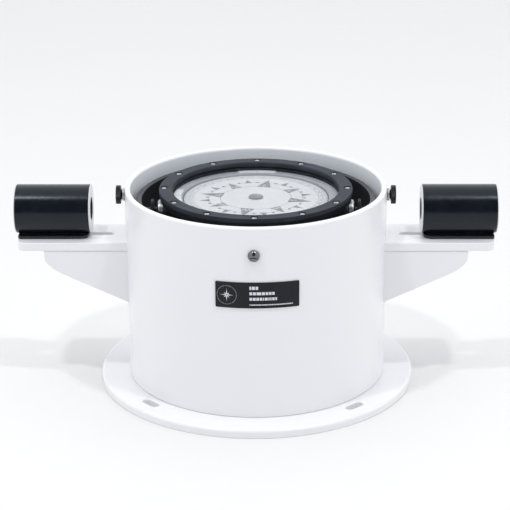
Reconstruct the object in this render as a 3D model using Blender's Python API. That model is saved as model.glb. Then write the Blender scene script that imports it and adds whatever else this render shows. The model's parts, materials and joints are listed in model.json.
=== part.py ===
"""Ship's magnetic compass in a flanged table binnacle.

A white tube on a slotted flange carries a gimbal ring on two fore-and-aft pins. The ring carries a
liquid-filled bowl on two athwartship pins. A card with its magnets turns on a pivot inside the bowl.
Two box brackets carry soft-iron correctors that slide in and out on slotted shelves.

Frame: metres, +Z up, +X to starboard, +Y ahead. The origin is on the tube's axis at the flange's underside.
"""

import math

import bmesh
import bpy
from mathutils import Matrix, Vector

# Clearance left between pieces that touch, and for running fits
GAP = 0.0003

# How far a cutter runs past what it cuts
BEYOND = 0.0100

# Tube and flange
TUBE_INNER_R = 0.1308
TUBE_OUTER_R = 0.1368
RIM_Z = 0.2130
FLANGE_R = 0.1668
FLANGE_INNER_R = 0.1180
FLANGE_THICK = 0.0090
FLANGE_EDGE_R = 0.0030
SLOT_CIRCLE_R = 0.1480
SLOT_AZIMUTH = 43.3
SLOT_LENGTH = 0.0220
SLOT_WIDTH = 0.0090

# Corrector brackets, to starboard; the port ones are the same piece turned round
SHELF_TOP_Z = 0.1583
SHELF_THICK = 0.0090
SHELF_HALF_WIDTH = 0.0300
SHELF_END_X = 0.2490
SHELF_CORNER_R = 0.0095
SHELF_SLOT_X = (0.1505, 0.2330)
SHELF_SLOT_WIDTH = 0.0076
CHEEK_THICK = 0.0050
CHEEK_SET_BACK = 0.0007
CHEEK_END_X = 0.2210
CHEEK_DROP_Z = 0.1430
CHEEK_KNEE = (0.2000, 0.1224)
CHEEK_FOOT = (0.1340, 0.0916)
BRACKET_ROOT_X = 0.1200

# Soft-iron correctors
CORRECTOR_X = (0.1728, 0.2517)
CORRECTOR_R = 0.0257
CORRECTOR_Z = 0.1861
CORRECTOR_BORE_R = 0.01125
SLEEVE_WALL = 0.0008
FOOT_LENGTH = 0.0740
FOOT_HALF_WIDTH = 0.0180
FOOT_THICK = 0.0030
FOOT_INNER_CORNER_R = 0.0085
FOOT_OUTER_CORNER_R = 0.0025
CRADLE_HALF_WIDTH = 0.0100
BOLT_R = 0.0030
NUT_R = 0.0100
NUT_THICK = 0.0080
BOLT_TAIL = 0.0040

# Gimbal ring; both gimbal axes cross on the tube's axis at GIMBAL_Z
GIMBAL_Z = 0.1840
RING_INNER_R = 0.1193
RING_OUTER_R = 0.1249
RING_HALF_HEIGHT = 0.0150
RING_CHAMFER = 0.0008
PIVOT_R = 0.0035
BUSH_R = 0.0057
PIVOT_COLLAR_R = 0.0065
PIVOT_COLLAR_GAP = 0.0015
PIVOT_NUT_R = 0.0060
PIVOT_NUT_RIM = 0.0008
PIVOT_DOME = 0.0040

# Bowl and what closes it
BEZEL_TOP_Z = 0.2095
BEZEL_THICK = 0.0050
BEZEL_OUTER_R = 0.1010
BEZEL_INNER_R = 0.0868
BEZEL_EDGE = 0.0008
SCREW_COUNT = 12
SCREW_CIRCLE_R = 0.0957
SCREW_RECESS_R = 0.0040
SCREW_RECESS_DEPTH = 0.0014
SCREW_HOLE_R = 0.0021
SCREW_RECESS_TURN = 7.0
BOWL_RIM_R = 0.1000
BOWL_R = 0.0970
BOWL_WALL = 0.0050
BOWL_CURVE_Z = 0.1500
BOWL_BOTTOM_Z = 0.1010
BOWL_FLOOR_R = 0.0600
RIM_STEP = 0.0030
LIQUID_HOLE_COUNT = 6
LIQUID_HOLE_R = 0.0040
LIQUID_HOLE_CIRCLE_R = 0.0350
GLASS_R = 0.0935
GLASS_Z = (0.2012, 0.2042)
GASKET_THICK = 0.0008
LEDGE_Z = 0.1962
LEDGE_INNER_R = 0.0840
LEDGE_THICK = 0.0040
LEDGE_ROOT_Z = 0.1842
STEM_R = 0.0050
STEM_NECK_R = 0.0018
STEM_NECK_LENGTH = 0.0120
STEM_TIP_Z = 0.1900
STEM_FOOT_R = 0.0080
STEM_FOOT_THICK = 0.0025
COVER_R = 0.0600
COVER_Z = (0.0860, 0.1007)
COVER_WALL = 0.0055
COVER_FLOOR = 0.0030
COVER_CHAMFER = 0.0040
BREATHER_R = 0.0015
BREATHER_PLACE = (0.0470, 0.0046)
DIAPHRAGM_Z = 0.0963
DIAPHRAGM_THICK = 0.0008
DIAPHRAGM_RIPPLE = 0.0009
WEIGHT_R = 0.0400
WEIGHT_Z = (0.0777, 0.0857)
PLUG_R = 0.0062
PLUG_HEAD = 0.0032
PLUG_EDGE = 0.0010
PLUG_Z = 0.1700

# Bowl pivots
COLLAR_R = 0.0115
COLLAR_END = 0.1036
COLLAR_DOME = ((0.0, 0.0024), (0.0008, 0.0009), (0.0028, 0.0))
LOCK_NUT_R = 0.0120
LOCK_NUT_SPAN = (0.1065, 0.1100)

# Card, lubber ring and float
CARD_R = 0.0750
CARD_Z = (0.1956, 0.1964)
HUB_R = 0.0040
HUB_MOUTH_R = 0.0025
HUB_DEPTH = 0.0020
JEWEL_CLEARANCE = 0.0005
CAP_R = 0.0076
CAP_RIM = 0.0013
CAP_CROWN = ((0.0056, 0.0023), (0.0, 0.0027))
LUBBER_RING_R = (0.0766, 0.0867)
LUBBER_RING_Z = (0.1965, 0.1980)
LUBBER_PLATE_R = (0.0782, 0.0862)
LUBBER_PLATE_Z = (0.1983, 0.1989)
LUBBER_PLATES = {"lubber_plate_ahead": (90.0, 14.0), "lubber_plate_port": (180.0, 14.0)}
FLOAT_R = 0.0280
FLOAT_FOOT_R = (0.0120, 0.0220)
FLOAT_TOP_R = 0.0200
FLOAT_LOW_Z = 0.1700
FLOAT_SIDE_Z = (0.1770, 0.1890)
MAGNET_OFFSET = 0.0315
MAGNET_LENGTH = 0.0600
MAGNET_R = 0.0025
MAGNET_Z = 0.1820

# Thumb screws for the cover, one on each side under the rim
KNOB_Z = 0.2015
KNOB_R = 0.00975
KNOB_SPAN = (0.1412, 0.1462)
KNOB_TIP_INSET = 0.0010
KNOB_BOSS_R = 0.0063
KNOB_BOSS_THICK = 0.0014
KNOB_CHAMFER = (0.0008, 0.0006)
WASHER_R = 0.0065

# Name plate on the tube's after side
LABEL_AZIMUTH = -88.6
LABEL_HALF_ANGLE = 17.6
LABEL_Z = (0.1287, 0.1559)
LABEL_THICK = 0.0008

# Magnet chamber in the foot of the tube
TRAY_THICK = 0.0030
HEELING_TUBE_R = (0.0145, 0.0167)
HEELING_TUBE_TOP = 0.0620
HEELING_FLANGE_R = 0.0257
HEELING_FLANGE_THICK = 0.0025
BUCKET_R = (0.0105, 0.0140)
BUCKET_Z = (0.0200, 0.0450)
BUCKET_FLOOR = 0.0030
HEELING_MAGNET_R = 0.0050
HEELING_MAGNET_INSET = 0.0020

# Sides of the faceted round pieces
LARGE = 48
MEDIUM = 32
SMALL = 16
TINY = 8

# Turns +Z to each direction that a cross pin points in
OUTWARD = {
    "starboard": (0.0, math.pi / 2, 0.0),
    "port": (0.0, -math.pi / 2, 0.0),
    "ahead": (-math.pi / 2, 0.0, 0.0),
    "astern": (math.pi / 2, 0.0, 0.0),
}
SIDES = {"port": -1, "starboard": 1}
GIMBAL_CENTRE = (0.0, 0.0, GIMBAL_Z)


def clear_scene():
    for obj in list(bpy.data.objects):
        bpy.data.objects.remove(obj, do_unlink=True)


def make_material(name, colour, roughness, metallic=0.0):
    material = bpy.data.materials.new(name)
    material.use_nodes = True
    shader = material.node_tree.nodes["Principled BSDF"]
    shader.inputs["Base Color"].default_value = (*colour, 1.0)
    shader.inputs["Roughness"].default_value = roughness
    shader.inputs["Metallic"].default_value = metallic
    return material


def make_object(name, bm, material, smooth=True, place=(0, 0, 0), turn=(0, 0, 0), parent=None):
    """A named object from a bmesh, its faces pointing out."""
    bmesh.ops.recalc_face_normals(bm, faces=bm.faces)
    if bm.calc_volume(signed=True) < 0:
        bmesh.ops.reverse_faces(bm, faces=bm.faces)
    mesh = bpy.data.meshes.new(name)
    bm.to_mesh(mesh)
    bm.free()
    if smooth:
        mesh.shade_smooth()
        mesh.set_sharp_from_angle(angle=math.radians(35))
    if material:
        mesh.materials.append(material)
    obj = bpy.data.objects.new(name, mesh)
    bpy.context.scene.collection.objects.link(obj)
    obj.parent = parent
    obj.location = Vector(place) - Vector(parent.location if parent else (0, 0, 0))
    obj.rotation_euler = turn
    return obj


def make_axis(name, place):
    """An empty on a joint's axis, which the moving pieces hang from."""
    empty = bpy.data.objects.new(name, None)
    empty.location = place
    bpy.context.scene.collection.objects.link(empty)
    return empty


def turned_mesh(profile, sides, closed):
    """A profile of (radius, height) points spun about Z. An open one starts and ends on the axis."""
    bm = bmesh.new()
    points = [bm.verts.new((radius, 0.0, height)) for radius, height in profile]
    edges = [bm.edges.new(pair) for pair in zip(points, points[1:])]
    if closed:
        edges.append(bm.edges.new((points[-1], points[0])))
    bmesh.ops.spin(
        bm, geom=points + edges, cent=(0, 0, 0), axis=(0, 0, 1), angle=math.tau, steps=sides, use_merge=True
    )
    bmesh.ops.remove_doubles(bm, verts=bm.verts, dist=0.000005)
    return bm


def turned_ring(name, profile, sides, material, **placing):
    return make_object(name, turned_mesh(profile, sides, True), material, **placing)


def turned_solid(name, profile, sides, material, **placing):
    return make_object(name, turned_mesh(profile, sides, False), material, **placing)


def plain_ring(name, radii, heights, sides, material, **placing):
    """A square-edged ring."""
    inner, outer = radii
    low, high = heights
    profile = [(inner, low), (outer, low), (outer, high), (inner, high)]
    return turned_ring(name, profile, sides, material, **placing)


def prism_mesh(outline, low, high):
    """An outline in the XY plane pulled up from low to high."""
    bm = bmesh.new()
    face = bm.faces.new([bm.verts.new((x, y, low)) for x, y in outline])
    pulled = bmesh.ops.extrude_face_region(bm, geom=[face])
    lifted = [item for item in pulled["geom"] if isinstance(item, bmesh.types.BMVert)]
    bmesh.ops.translate(bm, verts=lifted, vec=(0, 0, high - low))
    return bm


def arc(centre, radius, start, end, steps):
    """Points of an arc, in degrees."""
    angles = [math.radians(start + (end - start) * step / steps) for step in range(steps + 1)]
    return [(centre[0] + radius * math.cos(a), centre[1] + radius * math.sin(a)) for a in angles]


def capsule(length, width, steps=4):
    """A slot's outline along X, with round ends."""
    reach = (length - width) / 2
    return arc((reach, 0), width / 2, -90, 90, steps) + arc((-reach, 0), width / 2, 90, 270, steps)


def rounded_rectangle(low, high, low_radius, high_radius, steps=4):
    """A rectangle's outline with one corner radius at its low X end and another at its high X end."""
    corners = [
        ((high[0] - high_radius, low[1] + high_radius), high_radius, -90),
        ((high[0] - high_radius, high[1] - high_radius), high_radius, 0),
        ((low[0] + low_radius, high[1] - low_radius), low_radius, 90),
        ((low[0] + low_radius, low[1] + low_radius), low_radius, 180),
    ]
    quarters = [arc(centre, radius, start, start + 90, steps) for centre, radius, start in corners]
    return [point for quarter in quarters for point in quarter]


def make_cutter(name, bm, place=(0, 0, 0), turn=(0, 0, 0)):
    cutter = make_object(name, bm, None, smooth=False, place=place, turn=turn)
    cutter.hide_render = True
    cutter.display_type = "WIRE"
    return cutter


def combine(obj, cutter, operation="DIFFERENCE"):
    boolean = obj.modifiers.new(cutter.name, "BOOLEAN")
    boolean.operation = operation
    boolean.solver = "EXACT"
    boolean.object = cutter


def drill_cutter(name, radius, low, high, place, turn=(0, 0, 0), sides=SMALL):
    """A cylinder from low to high along its own Z."""
    profile = [(0, low), (radius, low), (radius, high), (0, high)]
    return make_cutter(name, turned_mesh(profile, sides, False), place, turn)


def build_binnacle(paint):
    """The flange and the tube, with holes for the ring's pivots and the thumb screws."""
    edge = arc((FLANGE_R - FLANGE_EDGE_R, FLANGE_THICK - FLANGE_EDGE_R), FLANGE_EDGE_R, 0, 90, 2)
    flange_profile = [(FLANGE_INNER_R, 0), (FLANGE_R, 0)] + edge + [(FLANGE_INNER_R, FLANGE_THICK)]
    flange = turned_ring("base_flange", flange_profile, LARGE, paint)
    for index in range(4):
        azimuth = math.radians(SLOT_AZIMUTH + 90 * index)
        place = (SLOT_CIRCLE_R * math.cos(azimuth), SLOT_CIRCLE_R * math.sin(azimuth), 0)
        shape = prism_mesh(capsule(SLOT_LENGTH, SLOT_WIDTH), -FLANGE_THICK, 2 * FLANGE_THICK)
        turn = (0, 0, azimuth + math.pi / 2)
        combine(flange, make_cutter(f"flange_slot_{index + 1}", shape, place, turn))

    lip_r = (TUBE_OUTER_R - TUBE_INNER_R) / 2
    lip = arc((TUBE_INNER_R + lip_r, RIM_Z - lip_r), lip_r, 0, 180, 4)
    foot_z = FLANGE_THICK + GAP
    tube = turned_ring("binnacle_tube", [(TUBE_INNER_R, foot_z), (TUBE_OUTER_R, foot_z)] + lip, LARGE, paint)
    for direction in OUTWARD:
        across = direction in SIDES
        height = KNOB_Z if across else GIMBAL_Z
        radius = BOLT_R + GAP if across else PIVOT_R + GAP
        low, high = TUBE_INNER_R - BEYOND, TUBE_OUTER_R + BEYOND
        place, turn = (0, 0, height), OUTWARD[direction]
        combine(tube, drill_cutter(f"tube_hole_{direction}", radius, low, high, place, turn))


def build_bracket(side, sign, paint):
    """A slotted shelf with a cheek under its forward and after edges, all fitted to the tube."""
    turn = (0, 0, 0 if sign > 0 else math.pi)
    low, high = SHELF_TOP_Z - SHELF_THICK, SHELF_TOP_Z
    near, far = (BRACKET_ROOT_X, -SHELF_HALF_WIDTH), (SHELF_END_X, SHELF_HALF_WIDTH)
    outer = rounded_rectangle(near, far, SHELF_CORNER_R, SHELF_CORNER_R)
    root = [(BRACKET_ROOT_X, SHELF_HALF_WIDTH), (BRACKET_ROOT_X, -SHELF_HALF_WIDTH)]
    outline = outer[: len(outer) // 2] + root
    shelf = make_object(
        f"corrector_shelf_{side}", prism_mesh(outline, low, high), paint, smooth=False, turn=turn
    )
    tube_fit = drill_cutter(f"tube_fit_{side}", TUBE_OUTER_R + GAP, 0, RIM_Z, (0, 0, 0), sides=LARGE)
    combine(shelf, tube_fit)
    slot_start, slot_end = SHELF_SLOT_X
    slot_place = (sign * (slot_start + slot_end) / 2, 0, 0)
    slot = prism_mesh(capsule(slot_end - slot_start, SHELF_SLOT_WIDTH), low - BEYOND, high + BEYOND)
    combine(shelf, make_cutter(f"shelf_slot_{side}", slot, slot_place))

    slope = (CHEEK_KNEE[1] - CHEEK_FOOT[1]) / (CHEEK_KNEE[0] - CHEEK_FOOT[0])
    drop = (CHEEK_END_X, CHEEK_DROP_Z)
    corner = (CHEEK_END_X, CHEEK_KNEE[1] + slope * (CHEEK_END_X - CHEEK_KNEE[0]))
    steps = 5
    bend = [curve_point(drop, corner, CHEEK_KNEE, step / steps) for step in range(steps + 1)]
    root_z = CHEEK_FOOT[1] - slope * (CHEEK_FOOT[0] - BRACKET_ROOT_X)
    top = low - GAP
    outline = [(BRACKET_ROOT_X, top), (CHEEK_END_X, top)] + bend + [(BRACKET_ROOT_X, root_z)]
    outside = SHELF_HALF_WIDTH - CHEEK_SET_BACK
    inside = outside - CHEEK_THICK
    for place, near, far in (("after", -outside, -inside), ("forward", inside, outside)):
        bm = prism_mesh([(sign * x, z) for x, z in outline], -far, -near)
        cheek = make_object(f"shelf_cheek_{side}_{place}", bm, paint, smooth=False, turn=(math.pi / 2, 0, 0))
        combine(cheek, tube_fit)


def curve_point(start, control, end, t):
    """A point on a quadratic curve."""
    return tuple((1 - t) ** 2 * a + 2 * t * (1 - t) * b + t**2 * c for a, b, c in zip(start, control, end))


def build_corrector(side, sign, sleeve_paint, core_paint, steel):
    """A soft-iron cylinder in its sleeve, on a foot that is clamped through the shelf's slot."""
    start, end = CORRECTOR_X
    middle = sign * (start + end) / 2
    axis = make_axis(f"corrector_{side}_slide", (middle, 0, CORRECTOR_Z))
    half = (end - start) / 2
    placing = {"place": axis.location.copy(), "turn": OUTWARD["starboard"], "parent": axis}
    sleeve_inner = CORRECTOR_R - SLEEVE_WALL
    sleeve_radii = (sleeve_inner, CORRECTOR_R)
    plain_ring(f"corrector_sleeve_{side}", sleeve_radii, (-half, half), MEDIUM, sleeve_paint, **placing)
    core_radii = (CORRECTOR_BORE_R, sleeve_inner - GAP)
    core_span = (-half + 2 * GAP, half - 2 * GAP)
    plain_ring(f"corrector_core_{side}", core_radii, core_span, MEDIUM, core_paint, **placing)

    base = SHELF_TOP_Z + GAP
    plate_top = base + FOOT_THICK
    seat_r = CORRECTOR_R + GAP
    reach = math.degrees(math.asin(CRADLE_HALF_WIDTH / seat_r))
    seat = arc((0, CORRECTOR_Z), seat_r, -90 + reach, -90 - reach, 6)
    section = [
        (-FOOT_HALF_WIDTH, base),
        (FOOT_HALF_WIDTH, base),
        (FOOT_HALF_WIDTH, plate_top),
        (CRADLE_HALF_WIDTH, plate_top),
        *seat,
        (-CRADLE_HALF_WIDTH, plate_top),
        (-FOOT_HALF_WIDTH, plate_top),
    ]
    bar = prism_mesh(section, -FOOT_LENGTH / 2, FOOT_LENGTH / 2)
    bmesh.ops.rotate(bar, verts=bar.verts, cent=(0, 0, 0), matrix=lay_section_along_x())
    bmesh.ops.translate(bar, verts=bar.verts, vec=(0, 0, -CORRECTOR_Z))
    foot = make_object(
        f"corrector_foot_{side}", bar, sleeve_paint, smooth=False, place=axis.location.copy(), parent=axis
    )
    far_corner = (FOOT_LENGTH / 2, FOOT_HALF_WIDTH)
    near_corner = (-FOOT_LENGTH / 2, -FOOT_HALF_WIDTH)
    radii = (FOOT_INNER_CORNER_R, FOOT_OUTER_CORNER_R)[::sign]
    plan = rounded_rectangle(near_corner, far_corner, *radii)
    plan_mesh = prism_mesh(plan, SHELF_TOP_Z - BEYOND, CORRECTOR_Z)
    combine(foot, make_cutter(f"foot_plan_{side}", plan_mesh, (middle, 0, 0)), "INTERSECT")
    hole = drill_cutter(f"foot_hole_{side}", BOLT_R + GAP, SHELF_TOP_Z - BEYOND, CORRECTOR_Z, (middle, 0, 0))
    combine(foot, hole)

    nut_top = SHELF_TOP_Z - SHELF_THICK - GAP - CORRECTOR_Z
    nut_low = nut_top - NUT_THICK
    bolt_low = nut_low - BOLT_TAIL
    bolt_top = -CORRECTOR_R - 2 * GAP
    bolt_profile = [(0, bolt_low), (BOLT_R, bolt_low), (BOLT_R, bolt_top), (0, bolt_top)]
    upright = {"place": axis.location.copy(), "parent": axis}
    turned_solid(f"clamp_bolt_{side}", bolt_profile, SMALL, steel, **upright)
    plain_ring(f"clamp_nut_{side}", (BOLT_R + GAP, NUT_R), (nut_low, nut_top), SMALL, steel, **upright)


def lay_section_along_x():
    """Turns a section drawn in XY and pulled along Z into one in YZ pulled along X."""
    return Matrix(((0, 0, 1), (1, 0, 0), (0, 1, 0)))


def build_gimbal_ring(ring_axis, ring_paint, bronze, steel):
    """The ring, its four bushes and the two fore-and-aft pivots that carry it in the tube.

    A pivot's end and its nut make one dome outside the tube.
    """
    height, chamfer = RING_HALF_HEIGHT, RING_CHAMFER
    profile = [
        (RING_INNER_R, -height + chamfer),
        (RING_INNER_R + chamfer, -height),
        (RING_OUTER_R - chamfer, -height),
        (RING_OUTER_R, -height + chamfer),
        (RING_OUTER_R, height - chamfer),
        (RING_OUTER_R - chamfer, height),
        (RING_INNER_R + chamfer, height),
        (RING_INNER_R, height - chamfer),
    ]
    ring = turned_ring("gimbal_ring", profile, LARGE, ring_paint, place=GIMBAL_CENTRE, parent=ring_axis)
    for direction, turn in OUTWARD.items():
        reach = (RING_INNER_R - BEYOND, RING_OUTER_R + BEYOND)
        combine(ring, drill_cutter(f"ring_hole_{direction}", BUSH_R + GAP, *reach, GIMBAL_CENTRE, turn))
        bush_span = (RING_INNER_R + 2 * GAP, RING_OUTER_R - 2 * GAP)
        plain_ring(
            f"gimbal_bush_{direction}",
            (PIVOT_R + GAP, BUSH_R),
            bush_span,
            SMALL,
            bronze,
            place=GIMBAL_CENTRE,
            turn=turn,
            parent=ring_axis,
        )

    inner, outer = RING_OUTER_R + PIVOT_COLLAR_GAP, TUBE_INNER_R - 2 * GAP
    nut_low = TUBE_OUTER_R + GAP
    dome_foot = (0, nut_low + PIVOT_NUT_RIM)
    nut_bore = PIVOT_R + GAP
    pin_edge = math.degrees(math.acos(PIVOT_R / PIVOT_NUT_R))
    nut_edge = math.degrees(math.acos(nut_bore / PIVOT_NUT_R))
    pin = [
        (0, RING_INNER_R + GAP),
        (PIVOT_R, RING_INNER_R + GAP),
        (PIVOT_R, inner),
        (PIVOT_COLLAR_R, inner),
        (PIVOT_COLLAR_R, outer),
        (PIVOT_R, outer),
        *ellipse(dome_foot, PIVOT_NUT_R, PIVOT_DOME, pin_edge, 90, 3),
    ]
    nut_dome = ellipse(dome_foot, PIVOT_NUT_R, PIVOT_DOME, 0, nut_edge, 3)
    nut = [(nut_bore, nut_low), (PIVOT_NUT_R, nut_low), *nut_dome]
    for direction in ("ahead", "astern"):
        placing = {"place": GIMBAL_CENTRE, "turn": OUTWARD[direction]}
        turned_solid(f"ring_pivot_{direction}", pin, SMALL, steel, **placing)
        turned_ring(f"ring_pivot_nut_{direction}", nut, SMALL, steel, **placing)


def build_bowl(bowl_axis, black, steel, brass, glass, rubber, lead):
    """The bowl with its bezel, glass, bottom parts and the two pivots that carry it in the ring."""
    placing = {"place": GIMBAL_CENTRE, "parent": bowl_axis}

    def at_bowl(profile):
        """Heights above the base as heights from the gimbal centre."""
        return [(radius, height - GIMBAL_Z) for radius, height in profile]

    rim_z = BEZEL_TOP_Z - BEZEL_THICK - GAP
    seat_z = GLASS_Z[0] - GASKET_THICK - 2 * GAP
    outer_drop = BOWL_CURVE_Z - BOWL_BOTTOM_Z
    floor_z = BOWL_BOTTOM_Z + BOWL_WALL
    outer_curve = ellipse((BOWL_FLOOR_R, BOWL_CURVE_Z), BOWL_R - BOWL_FLOOR_R, outer_drop, -90, 0, 4)
    inner_floor_r = BOWL_FLOOR_R - BOWL_WALL
    inner_across = BOWL_R - BOWL_WALL - inner_floor_r
    inner_curve = ellipse((inner_floor_r, BOWL_CURVE_Z), inner_across, BOWL_CURVE_Z - floor_z, 0, -90, 4)
    bore_r = STEM_R + GAP
    bowl_profile = [
        (bore_r, BOWL_BOTTOM_Z),
        *outer_curve,
        (BOWL_R, LEDGE_Z),
        (BOWL_RIM_R, LEDGE_Z + RIM_STEP),
        (BOWL_RIM_R, rim_z),
        (GLASS_R + GAP, rim_z),
        (GLASS_R + GAP, seat_z),
        (LUBBER_RING_R[1] + GAP, seat_z),
        (LUBBER_RING_R[1] + GAP, LEDGE_Z),
        (LEDGE_INNER_R, LEDGE_Z),
        (LEDGE_INNER_R, LEDGE_Z - LEDGE_THICK),
        (BOWL_R - BOWL_WALL, LEDGE_ROOT_Z),
        *inner_curve,
        (bore_r, floor_z),
    ]
    bowl = turned_ring("bowl_body", at_bowl(bowl_profile), LARGE, black, **placing)
    for index in range(LIQUID_HOLE_COUNT):
        azimuth = math.tau * (index + 0.35) / LIQUID_HOLE_COUNT
        place = (LIQUID_HOLE_CIRCLE_R * math.cos(azimuth), LIQUID_HOLE_CIRCLE_R * math.sin(azimuth), 0)
        name, low, high = f"liquid_hole_{index + 1}", COVER_Z[0], BOWL_CURVE_Z
        combine(bowl, drill_cutter(name, LIQUID_HOLE_R, low, high, place, sides=TINY))

    bezel_low = BEZEL_TOP_Z - BEZEL_THICK
    bezel_profile = [
        (BEZEL_INNER_R, bezel_low),
        (BEZEL_OUTER_R, bezel_low),
        (BEZEL_OUTER_R, BEZEL_TOP_Z - BEZEL_EDGE),
        (BEZEL_OUTER_R - BEZEL_EDGE, BEZEL_TOP_Z),
        (BEZEL_INNER_R + BEZEL_EDGE, BEZEL_TOP_Z),
        (BEZEL_INNER_R, BEZEL_TOP_Z - BEZEL_EDGE),
    ]
    bezel = turned_ring("bezel_ring", at_bowl(bezel_profile), LARGE, black, **placing)
    for index in range(SCREW_COUNT):
        azimuth = math.tau * index / SCREW_COUNT
        recess_place = (SCREW_CIRCLE_R * math.cos(azimuth), SCREW_CIRCLE_R * math.sin(azimuth), BEZEL_TOP_Z)
        step = [
            (0, -2 * BEZEL_THICK),
            (SCREW_HOLE_R, -2 * BEZEL_THICK),
            (SCREW_HOLE_R, -SCREW_RECESS_DEPTH),
            (SCREW_RECESS_R, -SCREW_RECESS_DEPTH),
            (SCREW_RECESS_R, BEZEL_THICK),
            (0, BEZEL_THICK),
        ]
        recess = turned_mesh(step, TINY, False)
        recess_turn = (0, 0, azimuth + math.radians(SCREW_RECESS_TURN))
        combine(bezel, make_cutter(f"screw_recess_{index + 1}", recess, recess_place, recess_turn))

    glass_low, glass_high = GLASS_Z
    glass_profile = at_bowl([(0, glass_low), (GLASS_R, glass_low), (GLASS_R, glass_high), (0, glass_high)])
    turned_solid("top_glass", glass_profile, LARGE, glass, **placing)
    gasket_z = (glass_low - GAP - GASKET_THICK - GIMBAL_Z, glass_low - GAP - GIMBAL_Z)
    plain_ring("glass_gasket", (LUBBER_RING_R[1] + 2 * GAP, GLASS_R), gasket_z, LARGE, rubber, **placing)

    stem_foot = BOWL_BOTTOM_Z - GAP
    stem_profile = at_bowl(
        [
            (0, stem_foot - STEM_FOOT_THICK),
            (STEM_FOOT_R, stem_foot - STEM_FOOT_THICK),
            (STEM_FOOT_R, stem_foot),
            (STEM_R, stem_foot),
            (STEM_R, BOWL_CURVE_Z),
            (STEM_NECK_R, STEM_TIP_Z - STEM_NECK_LENGTH),
            (0, STEM_TIP_Z),
        ]
    )
    turned_solid("pivot_stem", stem_profile, SMALL, brass, **placing)

    cover_low, cover_high = COVER_Z
    cover_profile = [
        (0, cover_low),
        (COVER_R - COVER_CHAMFER, cover_low),
        (COVER_R, cover_low + COVER_CHAMFER),
        (COVER_R, cover_high),
        (COVER_R - COVER_WALL, cover_high),
        (COVER_R - COVER_WALL, cover_low + COVER_FLOOR),
        (0, cover_low + COVER_FLOOR),
    ]
    cover = turned_solid("bottom_cover", at_bowl(cover_profile), MEDIUM, black, **placing)
    low, high = cover_low - BEYOND, cover_low + BEYOND
    combine(cover, drill_cutter("breather_hole", BREATHER_R, low, high, (*BREATHER_PLACE, 0), sides=TINY))
    turned_solid("expansion_diaphragm", at_bowl(diaphragm_profile()), SMALL, brass, **placing)
    weight_low, weight_high = WEIGHT_Z
    weight_profile = [(0, weight_low), (WEIGHT_R, weight_low), (WEIGHT_R, weight_high), (0, weight_high)]
    turned_solid("counterweight", at_bowl(weight_profile), MEDIUM, lead, **placing)

    plug_top = BOWL_R + PLUG_HEAD
    plug_profile = [
        (0, BOWL_R + GAP),
        (PLUG_R, BOWL_R + GAP),
        (PLUG_R, plug_top - PLUG_EDGE),
        (PLUG_R - PLUG_EDGE, plug_top),
        (0, plug_top),
    ]
    plug_placing = {"place": (0, 0, PLUG_Z), "turn": OUTWARD["ahead"], "parent": bowl_axis}
    turned_solid("filling_plug", plug_profile, SMALL, brass, **plug_placing)

    pivot_profile = [
        (0, BOWL_R + GAP),
        (COLLAR_R, BOWL_R + GAP),
        *[(COLLAR_R - inward, COLLAR_END - back) for inward, back in COLLAR_DOME],
        (PIVOT_R, COLLAR_END),
        (PIVOT_R, RING_OUTER_R),
        (0, RING_OUTER_R),
    ]
    for side in SIDES:
        turned_solid(f"bowl_pivot_{side}", pivot_profile, SMALL, steel, turn=OUTWARD[side], **placing)
        nut_radii = (PIVOT_R + GAP, LOCK_NUT_R)
        plain_ring(f"lock_nut_{side}", nut_radii, LOCK_NUT_SPAN, SMALL, black, turn=OUTWARD[side], **placing)


def ellipse(centre, across, down, start, end, steps):
    """Points of an ellipse's quarter, in degrees."""
    angles = [math.radians(start + (end - start) * step / steps) for step in range(steps + 1)]
    return [(centre[0] + across * math.cos(a), centre[1] + down * math.sin(a)) for a in angles]


def diaphragm_profile():
    """A thin disc with three ripples, inside the bottom cover."""
    radius = COVER_R - COVER_WALL - GAP
    steps = 12
    below = []
    for step in range(steps + 1):
        ripple = DIAPHRAGM_RIPPLE if step < steps else 0.0
        below.append((radius * step / steps, DIAPHRAGM_Z + ripple * math.cos(math.pi * step / 2)))
    above = [(r, z + DIAPHRAGM_THICK) for r, z in reversed(below)]
    return below + above


def build_lubber(bowl_axis, grey, white):
    """The fixed ring round the card, with the white plates that carry the lubber marks."""
    placing = {"place": GIMBAL_CENTRE, "parent": bowl_axis}
    ring_z = tuple(height - GIMBAL_Z for height in LUBBER_RING_Z)
    plain_ring("lubber_ring", LUBBER_RING_R, ring_z, LARGE, grey, **placing)
    for name, (azimuth, half_angle) in LUBBER_PLATES.items():
        inner, outer = LUBBER_PLATE_R
        outline = arc((0, 0), outer, azimuth - half_angle, azimuth + half_angle, 6)
        outline += arc((0, 0), inner, azimuth + half_angle, azimuth - half_angle, 6)
        low, high = (height - GIMBAL_Z for height in LUBBER_PLATE_Z)
        make_object(name, prism_mesh(outline, low, high), white, smooth=False, **placing)


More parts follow.
